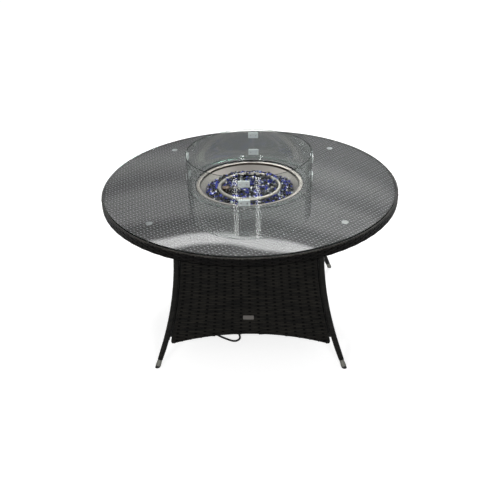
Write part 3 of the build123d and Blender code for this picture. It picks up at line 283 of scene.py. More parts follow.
for part in frame["record"]["subparts"]:
    name = part["node"]
    own = nodeMaterials.get(name, slotMaterials[part["material_slot"]])
    nodes[name].data.materials.clear()
    nodes[name].data.materials.append(own)
print("materials on the frame's nodes")


def linkMesh(name, mesh):
    data = bpy.data.meshes.new(name)
    mesh.to_mesh(data)
    mesh.free()
    thing = bpy.data.objects.new(name, data)
    scene.collection.objects.link(thing)
    return thing


def finishPiece(mesh, name, materials, body, replaced=(), smooth=True, crease=0):
    piece = linkMesh(name, mesh)
    data = piece.data
    for material in materials:
        data.materials.append(material)
    data.polygons.foreach_set("use_smooth", [smooth] * len(data.polygons))
    if crease:
        data.set_sharp_from_angle(angle=math.radians(crease))
    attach(piece, body)
    if replaced:
        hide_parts(*replaced)
    print("made", name, len(data.polygons), "faces")


def newMesh():
    mesh = bmesh.new()
    mesh.loops.layers.uv.new("UVMap")
    return mesh


def joinMesh(mesh, part, sort=0):
    # a small mesh is shaped alone and then joined, which is far quicker than shaping it in place
    bmesh.ops.recalc_face_normals(part, faces=part.faces)
    for face in part.faces:
        face.material_index = sort
    carrier = bpy.data.meshes.new("carrier")
    part.to_mesh(carrier)
    part.free()
    mesh.from_mesh(carrier)
    bpy.data.meshes.remove(carrier)


def addStrand(mesh, segments, profile, place, closed=False, sort=0):
    # a grid is bent into a tube: place gets the share along it and a point of the profile
    sides = len(profile)
    strand = newMesh()
    bmesh.ops.create_grid(strand, x_segments=segments, y_segments=sides, size=0.5, calc_uvs=True)
    for vert in strand.verts:
        along = vert.co.x + 0.5
        corner = round((vert.co.y + 0.5) * sides) % sides
        if closed and along > 1 - 0.5 / segments:
            along = 0.0
        vert.co = place(along, *profile[corner])
    bmesh.ops.remove_doubles(strand, verts=strand.verts, dist=0.002 * mm)
    if not closed:
        ends = [edge for edge in strand.edges if edge.is_boundary]
        bmesh.ops.holes_fill(strand, edges=ends, sides=24)
    joinMesh(mesh, strand, sort)


def addLathe(mesh, corners, steps):
    # a closed profile of (radius, height) turned round the Z axis
    part = newMesh()
    ring = [part.verts.new((radius, 0, z)) for radius, z in corners]
    edges = [part.edges.new((ring[i], ring[(i + 1) % len(ring)])) for i in range(len(ring))]
    bmesh.ops.spin(
        part, geom=ring + edges, axis=(0, 0, 1), cent=(0, 0, 0), angle=2 * math.pi, steps=steps,
        use_merge=True)
    bmesh.ops.remove_doubles(part, verts=part.verts, dist=0.001 * mm)
    joinMesh(mesh, part)


def flatProfile(width, height):
    return [(-width / 2, 0), (-width / 4, height), (width / 4, height), (width / 2, 0)]


def roundProfile(radius, sides):
    turns = [2 * math.pi * i / sides for i in range(sides)]
    return [(radius * math.cos(turn), radius * math.sin(turn)) for turn in turns]


def wave(turn):
    # a strand's way over and under the stakes: below 1 the power flattens its tops
    flatness = 0.6
    swing = math.sin(math.pi * turn)
    return math.copysign(abs(swing) ** flatness, swing)


# Gas hose, from the union down to the floor, past the arch of the front panel and up to the regulator
hose = {
    "radius": 5 * mm,
    "length": 1.478,
    "points": [
        (-32, 285, 560), (-32, 285, 464), (-38, 281, 335), (-54, 274, 208), (-72, 262, 98), (-88, 240, 29),
        (-108, 196, 5), (-148, 118, 5), (-198, 24, 5), (-228, -74, 5), (-220, -150, 5), (-172, -205, 5),
        (-122, -236, 5), (-92, -251, 5), (-75, -250, 5), (-61.5, -239.5, 5), (-56.5, -223, 5),
        (-65, -190, 5), (-81, -130, 5), (-86, -64, 5), (-75, -2, 17), (-62, 42, 33), (-62, 72, 33)],
}
hoseCurve = bpy.data.curves.new("gasHoseLine", "CURVE")
hoseCurve.dimensions = "3D"
hoseSpline = hoseCurve.splines.new("NURBS")
hoseSpline.points.add(len(hose["points"]) - 1)
for point, place in zip(hoseSpline.points, hose["points"]):
    point.co = (*[value * mm for value in place], 1)
hoseSpline.order_u = 3
hoseSpline.use_endpoint_u = True
hoseSpline.resolution_u = 12
hoseCurve.bevel_depth = hose["radius"]
hoseCurve.bevel_resolution = 4
hoseCurve.use_fill_caps = True
hosePiece = bpy.data.objects.new("gasHoseRubber", hoseCurve)
scene.collection.objects.link(hosePiece)
hoseCurve.materials.append(slotMaterials["black_rubber"])
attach(hosePiece, "root")
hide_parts("gas_hose")
print("made gas hose")

# Bell-shaped woven sides
bell = {
    "face": 318 * mm,
    "edge": 302 * mm,
    "bendZ": 600 * mm,
    "bendEndZ": 250 * mm,
    "bendRadius": 1626 * mm,
    "cornerZ": 95 * mm,
    "archZ": 147 * mm,
    "strandPitch": 9 * mm,
    "strandWidth": 11.4 * mm,
    "strandThick": 1.0 * mm,
    "lift": 1.15 * mm,
    "midDepth": 3.3 * mm,
    "segmentsPerStake": 4,
    "stakes": 17,
    "stakeWidth": 13 * mm,
    "stakeThick": 0.9 * mm,
    "stakeDepth": 0.3 * mm,
    "stakeSegments": 24,
    "bindRadius": 4.6 * mm,
    "bindPitch": 9 * mm,
    "bindDip": 0.14,  # share of the radius lost between two turns of the binding
    "bindOut": 0.4 * mm,
    "bindSides": 7,
    "sideSteps": 260,
    "archSteps": 330,
    "cornerCut": 20 * mm,  # where the binding leaves its straight runs for the rounded corner
    "cornerReach": 15 * mm,
}
bell["flare"] = math.asin((bell["bendZ"] - bell["bendEndZ"]) / bell["bendRadius"])


def bellOut(z):
    if z >= bell["bendZ"]:
        return 0.0
    if z >= bell["bendEndZ"]:
        drop = bell["bendZ"] - z
        return bell["bendRadius"] - math.sqrt(bell["bendRadius"] ** 2 - drop ** 2)
    swing = bell["bendRadius"] * (1 - math.cos(bell["flare"]))
    return swing + (bell["bendEndZ"] - z) * math.tan(bell["flare"])


def archRadius():
    # a panel's lower edge is an arc through its two corners and the top of the arch
    rise = bell["archZ"] - bell["cornerZ"]
    reach = bell["edge"] + bellOut(bell["cornerZ"])
    return (rise ** 2 + reach ** 2) / (2 * rise)


def archHeight(x):
    radius = archRadius()
    return bell["archZ"] - radius + math.sqrt(radius ** 2 - x ** 2)


def archHalf(z):
    # half of the arch's width at a height, 0 above the arch
    if z >= bell["archZ"]:
        return 0.0
    radius = archRadius()
    return math.sqrt(radius ** 2 - (z - bell["archZ"] + radius) ** 2)


def sideFrame(angle):
    outward = Vector((math.cos(angle), math.sin(angle), 0))
    sideways = Vector((-math.sin(angle), math.cos(angle), 0))
    return outward, sideways


def weavePanel(name, angle, top, body, replaced, window=None):
    outward, sideways = sideFrame(math.radians(angle))
    up = Vector((0, 0, 1))
    mesh = newMesh()
    bind = bell["bindRadius"]
    skin = bell["face"] - bell["midDepth"]
    strandFlat = flatProfile(bell["strandWidth"], bell["strandThick"])
    rows = int((top - bell["cornerZ"]) / bell["strandPitch"])
    for row in range(rows):
        z0 = top - (row + 0.5) * bell["strandPitch"]
        half = bell["edge"] + bellOut(z0) - bind
        cut = archHalf(z0 - bind)
        if window and abs(z0 - window["z"]) < window["height"] / 2:
            cut = window["width"] / 2
        spans = [(-half, half)] if cut == 0 else [(-half, -cut), (cut, half)]
        for start, end in spans:
            if end - start < bell["strandPitch"]:
                continue

            def place(along, across, height):
                x = start + (end - start) * along
                turn = bell["stakes"] * (1 + x / half) / 2 + row
                out = skin + bellOut(z0 + across) + bell["lift"] * wave(turn) + height
                return outward * out + sideways * x + up * (z0 + across)

            stakesCrossed = (end - start) / half / 2 * bell["stakes"]
            pieces = max(3, round(stakesCrossed * bell["segmentsPerStake"]))
            addStrand(mesh, pieces, strandFlat, place)
    stakeFlat = flatProfile(bell["stakeWidth"], bell["stakeThick"])
    for stake in range(bell["stakes"]):
        share = 2 * (stake + 0.5) / bell["stakes"] - 1
        foot = archHeight(share * (bell["edge"] + bellOut(bell["archZ"]))) + bind

        def placeStake(along, across, height):
            z = foot + (top - foot) * along
            x = share * (bell["edge"] + bellOut(z) - bind) + across
            if window and abs(x) < window["width"] / 2 and abs(z - window["z"]) < window["height"] / 2:
                z = window["z"] - window["height"] / 2
            out = skin + bellOut(z) - bell["stakeDepth"] + height
            return outward * out + sideways * x + up * z

        addStrand(mesh, bell["stakeSegments"], stakeFlat, placeStake, sort=1)
    addBinding(mesh, outward, sideways, top)
    finishPiece(mesh, name, [rattan, stakeShadeRattan, woundRattan], body, replaced, crease=60)


def addBinding(mesh, outward, sideways, top):
    # the strand wrapped round the panel's edge, with a crown at each turn
    bind = bell["bindRadius"]
    sideLow = bell["cornerZ"] + bell["cornerCut"]
    side = [(bell["edge"] + bellOut(z) - bind, z) for z in spread(top, sideLow, bell["sideSteps"])]
    reach = bell["edge"] + bellOut(bell["cornerZ"]) - bell["cornerCut"]
    arch = [(x, archHeight(x) + bind) for x in spread(reach, -reach, bell["archSteps"])]
    tipX = bell["edge"] + bellOut(bell["cornerZ"] + bind) - bind
    tip = Vector((tipX, archHeight(reach + bell["cornerReach"]) + bind))
    corner = []
    for share in (0.2, 0.4, 0.6, 0.8):  # a curve from the side's end to the arch's, drawn to the tip
        first = Vector(side[-1]).lerp(tip, share)
        second = tip.lerp(Vector(arch[0]), share)
        corner.append(tuple(first.lerp(second, share)))
    path = side + corner + arch + [(-x, z) for x, z in reversed(side + corner)]
    lengths = [0.0]
    for (x, z), (x1, z1) in zip(path, path[1:]):
        lengths.append(lengths[-1] + math.hypot(x1 - x, z1 - z))

    def place(along, across, height):
        index = round(along * (len(path) - 1))
        x, z = path[index]
        before = path[max(index - 1, 0)]
        after = path[min(index + 1, len(path) - 1)]
        run = Vector((after[0] - before[0], after[1] - before[1])).normalized()
        dip = 1 - abs(math.sin(math.pi * lengths[index] / bell["bindPitch"]))
        crown = 1 - bell["bindDip"] * dip
        inPlane = across * crown
        out = bell["face"] + bellOut(z) - bind + bell["bindOut"] + height * crown
        return outward * out + sideways * (x - run.y * inPlane) + Vector((0, 0, z + run.x * inPlane))

    addStrand(mesh, len(path) - 1, roundProfile(bind, bell["bindSides"]), place, sort=2)


def spread(start, end, count):
    return [start + (end - start) * i / (count - 1) for i in range(count)]


panelTop = 686.5 * mm
flapTop = 665 * mm
controlWindow = {"z": 640 * mm, "width": 116 * mm, "height": 56 * mm}
weavePanel("frontWeave", -90, panelTop, "root", ["front_panel_weave"])
weavePanel("backWeave", 90, panelTop, "root", ["back_panel_weave"], controlWindow)
weavePanel("leftWeave", 180, panelTop, "root", ["left_panel_weave"])
weavePanel("flapWeave", 0, flapTop, "flap", ["flap_weave"])

# Legs wound with strand
leg = {
    "diagonal": 449.72 * mm,
    "topZ": 686.5 * mm,
    "bendZ": 600 * mm,
    "bendRadius": 1150.04 * mm,
    "splay": math.radians(27.5),
    "straight": 38.3 * mm,
    "radius": 13.5 * mm,
    "footRadius": 12.2 * mm,
    "taperLength": 50 * mm,
    "crown": 0.9 * mm,
    "crownPower": 0.7,
    "pitch": 8 * mm,
    "segmentsPerTurn": 5,
    "sides": 16,
}


def legPoint(run):
    # centreline of a leg from the rails down, in the plane of its diagonal: straight, bent, straight
    drop = leg["topZ"] - leg["bendZ"]
    if run < drop:
        return Vector((leg["diagonal"], leg["topZ"] - run)), 0.0
    angle = min((run - drop) / leg["bendRadius"], leg["splay"])
    rest = max(run - drop - leg["bendRadius"] * leg["splay"], 0)
    reach = leg["diagonal"] + leg["bendRadius"] * (1 - math.cos(angle)) + rest * math.sin(angle)
    z = leg["bendZ"] - leg["bendRadius"] * math.sin(angle) - rest * math.cos(angle)
    return Vector((reach, z)), angle


def wrapLeg(name, angle, node):
    outward, sideways = sideFrame(math.radians(angle))
    length = leg["topZ"] - leg["bendZ"] + leg["bendRadius"] * leg["splay"] + leg["straight"]
    mesh = newMesh()

    def place(along, across, height):
        turn = math.atan2(height, across)
        run = min(max(length * along + leg["pitch"] * turn / (2 * math.pi), 0), length)
        centre, lean = legPoint(run)
        taper = min(max((run - length + leg["taperLength"]) / leg["taperLength"], 0), 1)
        base = leg["radius"] * (1 - taper) + leg["footRadius"] * taper
        dip = 1 - abs(math.sin(math.pi * length * along / leg["pitch"])) ** leg["crownPower"]
        radius = base - leg["crown"] * dip
        out = radius * math.cos(turn)
        level = Vector((0, 0, centre.y + out * math.sin(lean)))
        return outward * (centre.x + out * math.cos(lean)) + sideways * (radius * math.sin(turn)) + level

    segments = round(length / leg["pitch"] * leg["segmentsPerTurn"])
    addStrand(mesh, segments, roundProfile(1, leg["sides"]), place)
    finishPiece(mesh, name, [woundRattan], "root", [node])


wrapLeg("legWrapFrontLeft", -135, "leg_front_left")
wrapLeg("legWrapFrontRight", -45, "leg_front_right")
wrapLeg("legWrapBackRight", 45, "leg_back_right")
wrapLeg("legWrapBackLeft", 135, "leg_back_left")

# Woven rim with a braided bead under the glass
rim = {
    "radius": 680 * mm,
    "bottom": 704 * mm,
    "edgeGap": 4 * mm,
    "strandPitch": 8 * mm,
    "strandWidth": 9.2 * mm,
    "strandThick": 1.2 * mm,
    "strandDepth": 2.4 * mm,
    "rows": 4,
    "lift": 1.15 * mm,
    "segmentsPerStake": 4,
    "stakes": 140,
    "stakeWidth": 9 * mm,
    "stakeThick": 0.8 * mm,
    "stakeDepth": 2.2 * mm,
    "underRadius": 646 * mm,  # rows under the frame, seen from below
    "underPitch": 7.4 * mm,
    "underRows": 5,
    "underWidth": 7.2 * mm,
    "underThick": 0.9 * mm,
    "underDepth": 1.9 * mm,
    "underLift": 0.6 * mm,
    "underSegments": 3,
    "braidRadius": 675.3 * mm,
    "braidZ": 740.2 * mm,
    "braidThick": 4.0 * mm,
    "braidLobe": 0.28,
    "braidPitch": 13 * mm,
    "braidSegments": 8,
    "braidSides": 10,
    "lining": [(646, 706.5), (676.4, 706.5), (676.4, 737), (671, 737), (671, 711), (646, 711)],
    "liningSteps": 144,
}


def aroundPoint(radius, turn, z):
    return Vector((radius * math.cos(turn), radius * math.sin(turn), z))


def weaveRim():
    mesh = newMesh()
    start = rim["bottom"] + rim["edgeGap"]
    strandFlat = flatProfile(rim["strandWidth"], rim["strandThick"])
    for row in range(rim["rows"]):
        z0 = start + (row + 0.5) * rim["strandPitch"]

        def place(along, across, height):
            swing = rim["lift"] * wave(along * rim["stakes"] + row)
            out = rim["radius"] - rim["strandDepth"] + swing + height
            return aroundPoint(out, 2 * math.pi * along, z0 + across)

        addStrand(mesh, rim["stakes"] * rim["segmentsPerStake"], strandFlat, place, closed=True)
    stakeFlat = flatProfile(rim["stakeWidth"], rim["stakeThick"])
    for stake in range(rim["stakes"]):
        middle = (stake + 0.5) / rim["stakes"] * 2 * math.pi

        def placeStake(along, across, height):
            z = start + rim["rows"] * rim["strandPitch"] * along
            out = rim["radius"] - rim["stakeDepth"] + height
            return aroundPoint(out, middle + across / rim["radius"], z)

        addStrand(mesh, 2, stakeFlat, placeStake, sort=1)
    underFlat = flatProfile(rim["underWidth"], rim["underThick"])
    for row in range(rim["underRows"]):
        radius = rim["underRadius"] + rim["underPitch"] * row

        def placeUnder(along, across, height):
            swing = rim["underLift"] * wave(along * rim["stakes"] + row)
            z = rim["bottom"] + rim["underDepth"] - swing - height
            return aroundPoint(radius - across, 2 * math.pi * along, z)

        addStrand(mesh, rim["stakes"] * rim["underSegments"], underFlat, placeUnder, closed=True)
    finishPiece(mesh, "rimStrands", [rimShadeRattan, stakeShadeRattan], "root", ["woven_rim"], crease=60)


def braidRim():
    mesh = newMesh()
    turns = round(2 * math.pi * rim["braidRadius"] / rim["braidPitch"])

    def place(along, across, height):
        angle = math.atan2(height, across)
        lobe = abs(math.cos(angle + math.pi * turns * along))
        thick = rim["braidThick"] * (1 - rim["braidLobe"] * (1 - lobe))
        radius = rim["braidRadius"] + thick * math.cos(angle)
        return aroundPoint(radius, 2 * math.pi * along, rim["braidZ"] + thick * math.sin(angle))

    addStrand(mesh, turns * rim["braidSegments"], roundProfile(1, rim["braidSides"]), place, closed=True)
    finishPiece(mesh, "rimBraid", [rattanTrim], "root", ["woven_rim"])


def liningRim():
    # plain lining in the stakes' painted-shade colour, which closes the gaps between the strands
    mesh = newMesh()
    addLathe(mesh, [(radius * mm, z * mm) for radius, z in rim["lining"]], rim["liningSteps"])
    finishPiece(mesh, "rimLining", [stakeShadeRattan], "root", ["woven_rim"], smooth=False)


weaveRim()
braidRim()
liningRim()

# Woven deck, seen through the glass
deck = {
    "rowAngle": math.radians(45),
    "outer": 670 * mm,
    "inner": 236 * mm,
    "top": 742.3 * mm,
    "bottom": 736.6 * mm,
    "strandPitch": 8 * mm,
    "strandWidth": 8.2 * mm,
    "strandThick": 0.9 * mm,
    "strandGap": 3 * mm,  # strands and stakes end under the hem
    "swing": 1.2 * mm,
    "step": 6 * mm,
    "float": [0, 1, 0.72, 0.35, 0.72, 1],  # height of a float from one dip to the next, over two stakes
    "stakePitch": 18 * mm,
    "stakeWidth": 7 * mm,
    "stakeThick": 0.9 * mm,
    "stakeGap": 5 * mm,
    "liningThick": 1.5 * mm,
    "liningSteps": 144,
    "hemRadius": 2.9 * mm,
    "hemInset": 3.2 * mm,
    "hemSides": 8,
    "hemSteps": 180,
}
deck["middle"] = deck["top"] - deck["strandThick"] - deck["swing"]
deckAlong = Vector((-math.sin(deck["rowAngle"]), math.cos(deck["rowAngle"]), 0))
deckBeside = Vector((math.cos(deck["rowAngle"]), math.sin(deck["rowAngle"]), 0))


def chordSpans(offset, outer, inner):
    reach = math.sqrt(max(outer ** 2 - offset ** 2, 0))
    if abs(offset) >= inner:
        return [(-reach, reach)]
    gap = math.sqrt(inner ** 2 - offset ** 2)
    return [(-reach, -gap), (gap, reach)]


def weaveDeck(name, strands):
    mesh = newMesh()
    edge = deck["strandWidth"] / 2
    crown = deck["strandWidth"] / 5
    profile = [(-edge, 0), (-crown, deck["strandThick"]), (crown, deck["strandThick"]), (edge, 0)]
    outer = deck["outer"] - deck["strandGap"]
    inner = deck["inner"] + deck["strandGap"]
    for strand in strands:
        offset = strand * deck["strandPitch"]
        for start, end in chordSpans(offset, outer, inner):
            first = math.ceil(start / deck["step"])
            last = math.floor(end / deck["step"])
            if last - first < len(deck["float"]):
                continue

            def place(share, across, height):
                step = first + round(share * (last - first))
                turn, spot = divmod(step, len(deck["float"]))
                over = (turn + strand) % 2 == 0
                rise = deck["float"][spot] if over else -min(spot, 1)
                z = deck["middle"] + deck["swing"] * rise + height
                return deckAlong * step * deck["step"] + deckBeside * (offset + across) + Vector((0, 0, z))

            addStrand(mesh, last - first, profile, place)
    finishPiece(mesh, name, [deckGlintRattan], "root", ["woven_deck"], crease=40)


def backDeck():
    # the stakes, a plain sheet under them and the hem round both edges, all in the stakes' painted-shade
    # colour
    mesh = newMesh()
    profile = flatProfile(deck["stakeWidth"], deck["stakeThick"])
    outer = deck["outer"] - deck["stakeGap"]
    inner = deck["inner"] + deck["stakeGap"]
    count = int(deck["outer"] / deck["stakePitch"])
    for stake in range(-count, count + 1):
        offset = stake * deck["stakePitch"]
        for start, end in chordSpans(offset, outer, inner):
            def placeStake(share, across, height):
                run = start + (end - start) * share
                level = Vector((0, 0, deck["middle"] + height))
                return deckBeside * run + deckAlong * (offset + across) + level

            addStrand(mesh, 2, profile, placeStake)
    lining = deck["bottom"] + deck["liningThick"]
    corners = [
        (deck["inner"], deck["bottom"]), (deck["outer"], deck["bottom"]),
        (deck["outer"], lining), (deck["inner"], lining)]
    addLathe(mesh, corners, deck["liningSteps"])
    hem = roundProfile(deck["hemRadius"], deck["hemSides"])
    hemZ = deck["top"] - deck["hemRadius"]
    for radius in (deck["outer"] - deck["hemInset"], deck["inner"] + deck["hemInset"]):
        def placeHem(share, across, height):
            return aroundPoint(radius + across, 2 * math.pi * share, hemZ + height)

        addStrand(mesh, deck["hemSteps"], hem, placeHem, closed=True)
    finishPiece(mesh, "deckStakesAndHem", [stakeShadeRattan], "root", ["woven_deck"], smooth=False)


deckCount = int(deck["outer"] / deck["strandPitch"])
weaveDeck("deckStrandsLeft", range(-deckCount, 0))
weaveDeck("deckStrandsRight", range(deckCount + 1))
backDeck()

# Spun fire pan: rolled edge, flange, short upright step and leaning wall, in one sheet
pan = {
    "top": [
        (247, 743.2), (246.4, 744), (233, 744), (231.4, 743.6), (230.3, 742.5), (229.8, 741),
        (229.5, 738.4), (228.8, 736.6), (227.2, 734.6), (193.6, 698.2), (190.2, 695.1), (186, 693.7),
        (181, 693.5), (0, 693.5)],
    "under": [
        (0, 692), (181.5, 692), (186.9, 692.3), (191.6, 694.1), (194.8, 697.2), (228.4, 733.7),
        (230.2, 736), (231, 738.2), (231.3, 740.8), (231.9, 742), (233, 742.5), (246.4, 742.5)],
    "steps": 160,
    "stepInner": 227.5 * mm,  # the step's faces, painted dark as shade, lie between these radii and above this height
    "stepOuter": 231.2 * mm,
    "stepLow": 735 * mm,
}


def spinPan():
    mesh = newMesh()
    addLathe(mesh, [(radius * mm, z * mm) for radius, z in pan["top"] + pan["under"]], pan["steps"])
    # index 1 is the flange's painted reflection, index 2 the step's painted shade
    for face in mesh.faces:
        middle = face.calc_center_median()
        if middle.xy.length > pan["stepOuter"]:
            face.material_index = 1
        elif middle.xy.length > pan["stepInner"] and middle.z > pan["stepLow"]:
            face.material_index = 2
    steels = [stainless, flangeReflectionSteel, stepShadeSteel]
    finishPiece(mesh, "spunPan", steels, "root", ["fire_pan"], crease=50)


spinPan()

# Wind guard: four bent panes with ground edges
guard = {
    "outer": 288.7 * mm,
    "inner": 283.7 * mm,
    "bottom": 751.5 * mm,
    "top": 897.5 * mm,
    "arris": 0.8 * mm,
    "joint": -2.5,  # turn of the first joint, in degrees
    "gap": 5 * mm,
    "steps": 72,
    "endDot": 0.6,  # faces that look along the ring this much are a pane's ground ends
}


def bendPane(name, number, node):
    start = math.radians(guard["joint"] + 90 * number) + guard["gap"] / guard["outer"] / 2
    sweep = math.radians(90) - guard["gap"] / guard["outer"]
    mesh = newMesh()
    bmesh.ops.create_grid(mesh, x_segments=1, y_segments=1, size=0.5)
    for vert in mesh.verts:
        radius = guard["outer"] if vert.co.x > 0 else guard["inner"]
        z = guard["top"] if vert.co.y > 0 else guard["bottom"]
        vert.co = aroundPoint(radius, start, z)
    bmesh.ops.bevel(
        mesh, geom=mesh.verts[:], offset=guard["arris"], affect="VERTICES", segments=1, profile=0.5,
        material=-1)
    bmesh.ops.spin(
        mesh, geom=mesh.faces[:], axis=(0, 0, 1), cent=(0, 0, 0), angle=sweep, steps=guard["steps"])
    bmesh.ops.recalc_face_normals(mesh, faces=mesh.faces)
    for face in mesh.faces:
        middle = face.calc_center_median()
        around = Vector((-middle.y, middle.x, 0)).normalized()
        face.material_index = 1 if abs(face.normal.dot(around)) > guard["endDot"] else 0
    finishPiece(mesh, name, [guardGlass, groundEnd], "guard", [node], crease=30)


bendPane("guardPaneBackRight", 0, "guard_glass_back_right")
bendPane("guardPaneBackLeft", 1, "guard_glass_back_left")
bendPane("guardPaneFrontLeft", 2, "guard_glass_front_left")
bendPane("guardPaneFrontRight", 3, "guard_glass_front_right")

# Fire glass: three sorts of chips heaped over a bed
chips = {
    "count": 1250,
    "seed": 11,
    "sorts": [0] * 14 + [1] * 6 + [2],  # black, cobalt and clear
    "size": (5.8 * mm, 9.6 * mm),
    "stretch": [(0.7, 1.3), (0.6, 1.1), (0.45, 0.8)],
    "spin": (0, 6.28),
    "tilt": (-0.6, 0.6),
    "chipping": (-0.2, 0.15),  # share by which a corner moves in or out
    "bedRadius": 206 * mm,
    "edgeShare": 0.4,  # of a chip's size, kept clear at the bed's edge
    "edgeZ": 712.5 * mm,
    "heapZ": 720 * mm,
    "heave": 3 * mm,
    "ringRadius": 140 * mm,
    "ringHalf": 8 * mm,
    "ringLevel": 718 * mm,  # chips stay below this in front, where the burner's ring shows
    "coverFromY": 60 * mm,  # and behind this a share of them lies on the ring
    "coverShare": 0.5,
    "coverRise": 12 * mm,
    "barTop": 719 * mm,  # chips on the crossbar and its hub
    "barHalf": 6 * mm,
    "barReach": 132 * mm,
    "hubRadius": 14 * mm,
    "pilotX": -109 * mm,  # no chips round the ignition's cover
    "pilotY": -25 * mm,
    "pilotHalfX": 17 * mm,
    "pilotHalfY": 16 * mm,
    "bedZ": 701 * mm,
    "bedDepth": 10 * mm,
    "bedFoot": 192 * mm,
    "bedTop": 199 * mm,
    "bedSides": 64,
}


def chipLevel(pick, spot, radius, size):
    level = chips["heapZ"] + (chips["edgeZ"] - chips["heapZ"]) * (radius / chips["bedRadius"]) ** 2
    level += pick.uniform(-chips["heave"], chips["heave"])
    nearRing = abs(radius - chips["ringRadius"]) < chips["ringHalf"] + size
    if nearRing and spot.y < chips["coverFromY"]:
        level = min(level, chips["ringLevel"])
    elif nearRing and pick.random() < chips["coverShare"]:
        level += chips["coverRise"]
    onHub = radius < chips["hubRadius"] + size
    onBar = abs(spot.y) < chips["barHalf"] + size and radius < chips["barReach"]
    return chips["barTop"] + size / 2 if onHub or onBar else level


def heapFireGlass():
    pick = random.Random(chips["seed"])
    mesh = newMesh()
    for _ in range(chips["count"]):
        size = pick.uniform(*chips["size"])
        radius = (chips["bedRadius"] - chips["edgeShare"] * size) * math.sqrt(pick.random())
        spot = aroundPoint(radius, pick.uniform(0, 2 * math.pi), 0)
        stretch = [pick.uniform(*span) for span in chips["stretch"]]
        spin = Matrix.Rotation(pick.uniform(*chips["spin"]), 4, "Z")
        spin = spin @ Matrix.Rotation(pick.uniform(*chips["tilt"]), 4, "X")
        sort = pick.choice(chips["sorts"])
        centre = Vector((spot.x, spot.y, chipLevel(pick, spot, radius, size)))
        nearPilotX = abs(spot.x - chips["pilotX"]) < chips["pilotHalfX"] + size
        nearPilotY = abs(spot.y - chips["pilotY"]) < chips["pilotHalfY"] + size
        if nearPilotX and nearPilotY:
            continue
        part = newMesh()
        bmesh.ops.create_icosphere(
            part, subdivisions=1, radius=size,
            matrix=Matrix.Translation(centre) @ spin @ Matrix.Diagonal((*stretch, 1)))
        for vert in part.verts:
            vert.co += (vert.co - centre) * pick.uniform(*chips["chipping"])
        joinMesh(mesh, part, sort)
    bed = newMesh()
    bmesh.ops.create_cone(
        bed, cap_ends=True, radius1=chips["bedFoot"], radius2=chips["bedTop"], depth=chips["bedDepth"],
        segments=chips["bedSides"], matrix=Matrix.Translation((0, 0, chips["bedZ"])))
    joinMesh(mesh, bed)
    colours = [
        makeChip("blackFireGlass", ("#040405", "#101218"), 0.0),
        slotMaterials["fire_glass"],
        makeChip("clearFireGlass", ("#7c8894", "#dbe2e8"), 0.2)]
    finishPiece(mesh, "fireGlassChips", colours, "root", ["fire_glass"], smooth=False)


heapFireGlass()

# Bare metal plate on the front weave
label = {
    "x": -6 * mm,
    "z": 231 * mm,
    "width": 49 * mm,
    "height": 20 * mm,
    "thick": 1.0 * mm,
    "corner": 3 * mm,
    "border": 1.2 * mm,
    "sink": 0.3 * mm,
    "standOff": 0.6 * mm,
}


def fixLabel():
    mesh = newMesh()
    bmesh.ops.create_grid(mesh, x_segments=1, y_segments=1, size=0.5, calc_uvs=True)
    bmesh.ops.scale(mesh, vec=(label["width"], label["height"], 1), verts=mesh.verts)
    bmesh.ops.bevel(
        mesh, geom=mesh.verts[:], offset=label["corner"], affect="VERTICES", segments=4, profile=0.5,
        material=-1)
    border = bmesh.ops.inset_region(mesh, faces=mesh.faces[:], thickness=label["border"], depth=0)["faces"]
    field = [face for face in mesh.faces if face not in border]
    sunk = list({vert for face in field for vert in face.verts})
    bmesh.ops.translate(mesh, verts=sunk, vec=(0, 0, -label["sink"]))
    bmesh.ops.solidify(mesh, geom=mesh.faces[:], thickness=label["thick"])
    bmesh.ops.recalc_face_normals(mesh, faces=mesh.faces)
    lean = math.radians(90) - bell["flare"]
    out = bell["face"] + bellOut(label["z"]) + label["standOff"]
    place = Matrix.Translation((label["x"], -out, label["z"])) @ Matrix.Rotation(lean, 4, "X")
    bmesh.ops.transform(mesh, verts=mesh.verts, matrix=place)
    plate = makeMetal("dullAluminiumPlate", "#6b6865", 0.5)
    finishPiece(mesh, "barePlate", [plate], "root", smooth=False)


fixLabel()

# Floor, light and camera
studio = {
    "floorSize": 30,
    "floorColour": "#c4c4c4",
    "floorGlow": 0.72,
    "floorGloss": 0.35,
    "worldLight": 0.55,
    "roomGloss": 0.4,
    "roomTurn": (-0.5, 0.1),  # gloss sees the room brighten from the camera's side to the back
    "softboxAim": (0, 0, 0.6),
    "softboxes": {  # place, watts, width and height in metres
        "softboxFrontLeft": ((-1.6, -3.85, 2.43), 40, 0.6, 1.1),
        "softboxFrontRight": ((1.15, -3.9, 2.46), 40, 0.6, 1.1),
        "softboxBackTop": ((0.45, 2.6, 3.3), 95, 0.9, 0.9),
    },
    "cardPlace": 4.0,
    "cardWidth": 12.0,
    "cardLow": 1.6,
    "cardHigh": 4.6,
    "cardStrength": 2.75,
    "cardFolds": 0.9,
    "cardSway": 0.22,
    "cardCrest": -0.65,  # where the bands hang lowest, and how fast they rise to the sides
    "cardBend": -0.11,
    "cardBands": [  # height and brightness
        (1.9, 0.085), (2.1, 0.085), (2.32, 0.17), (2.54, 0.11), (2.69, 0.2), (2.93, 0.21),
        (3.09, 0.1), (3.24, 0.14), (3.31, 0.95), (3.39, 1.0), (3.46, 0.15), (3.8, 0.24)],
}
white = (1, 1, 1, 1)
floorMesh = newMesh()
bmesh.ops.create_grid(floorMesh, x_segments=1, y_segments=1, size=studio["floorSize"] / 2)
floor = linkMesh("studioFloor", floorMesh)
floorMaterial, floorTree, floorShader = newMaterial("palePaperFloor", Roughness=0.9)
floorShader.inputs["Base Color"].default_value = srgb(studio["floorColour"])
floorShader.inputs["Emission Color"].default_value = white
floorPath = addNode(floorTree, "ShaderNodeLightPath")
floorSeen = addMath(
    floorTree, "MAXIMUM", floorPath.outputs["Is Camera Ray"], floorPath.outputs["Is Transmission Ray"])
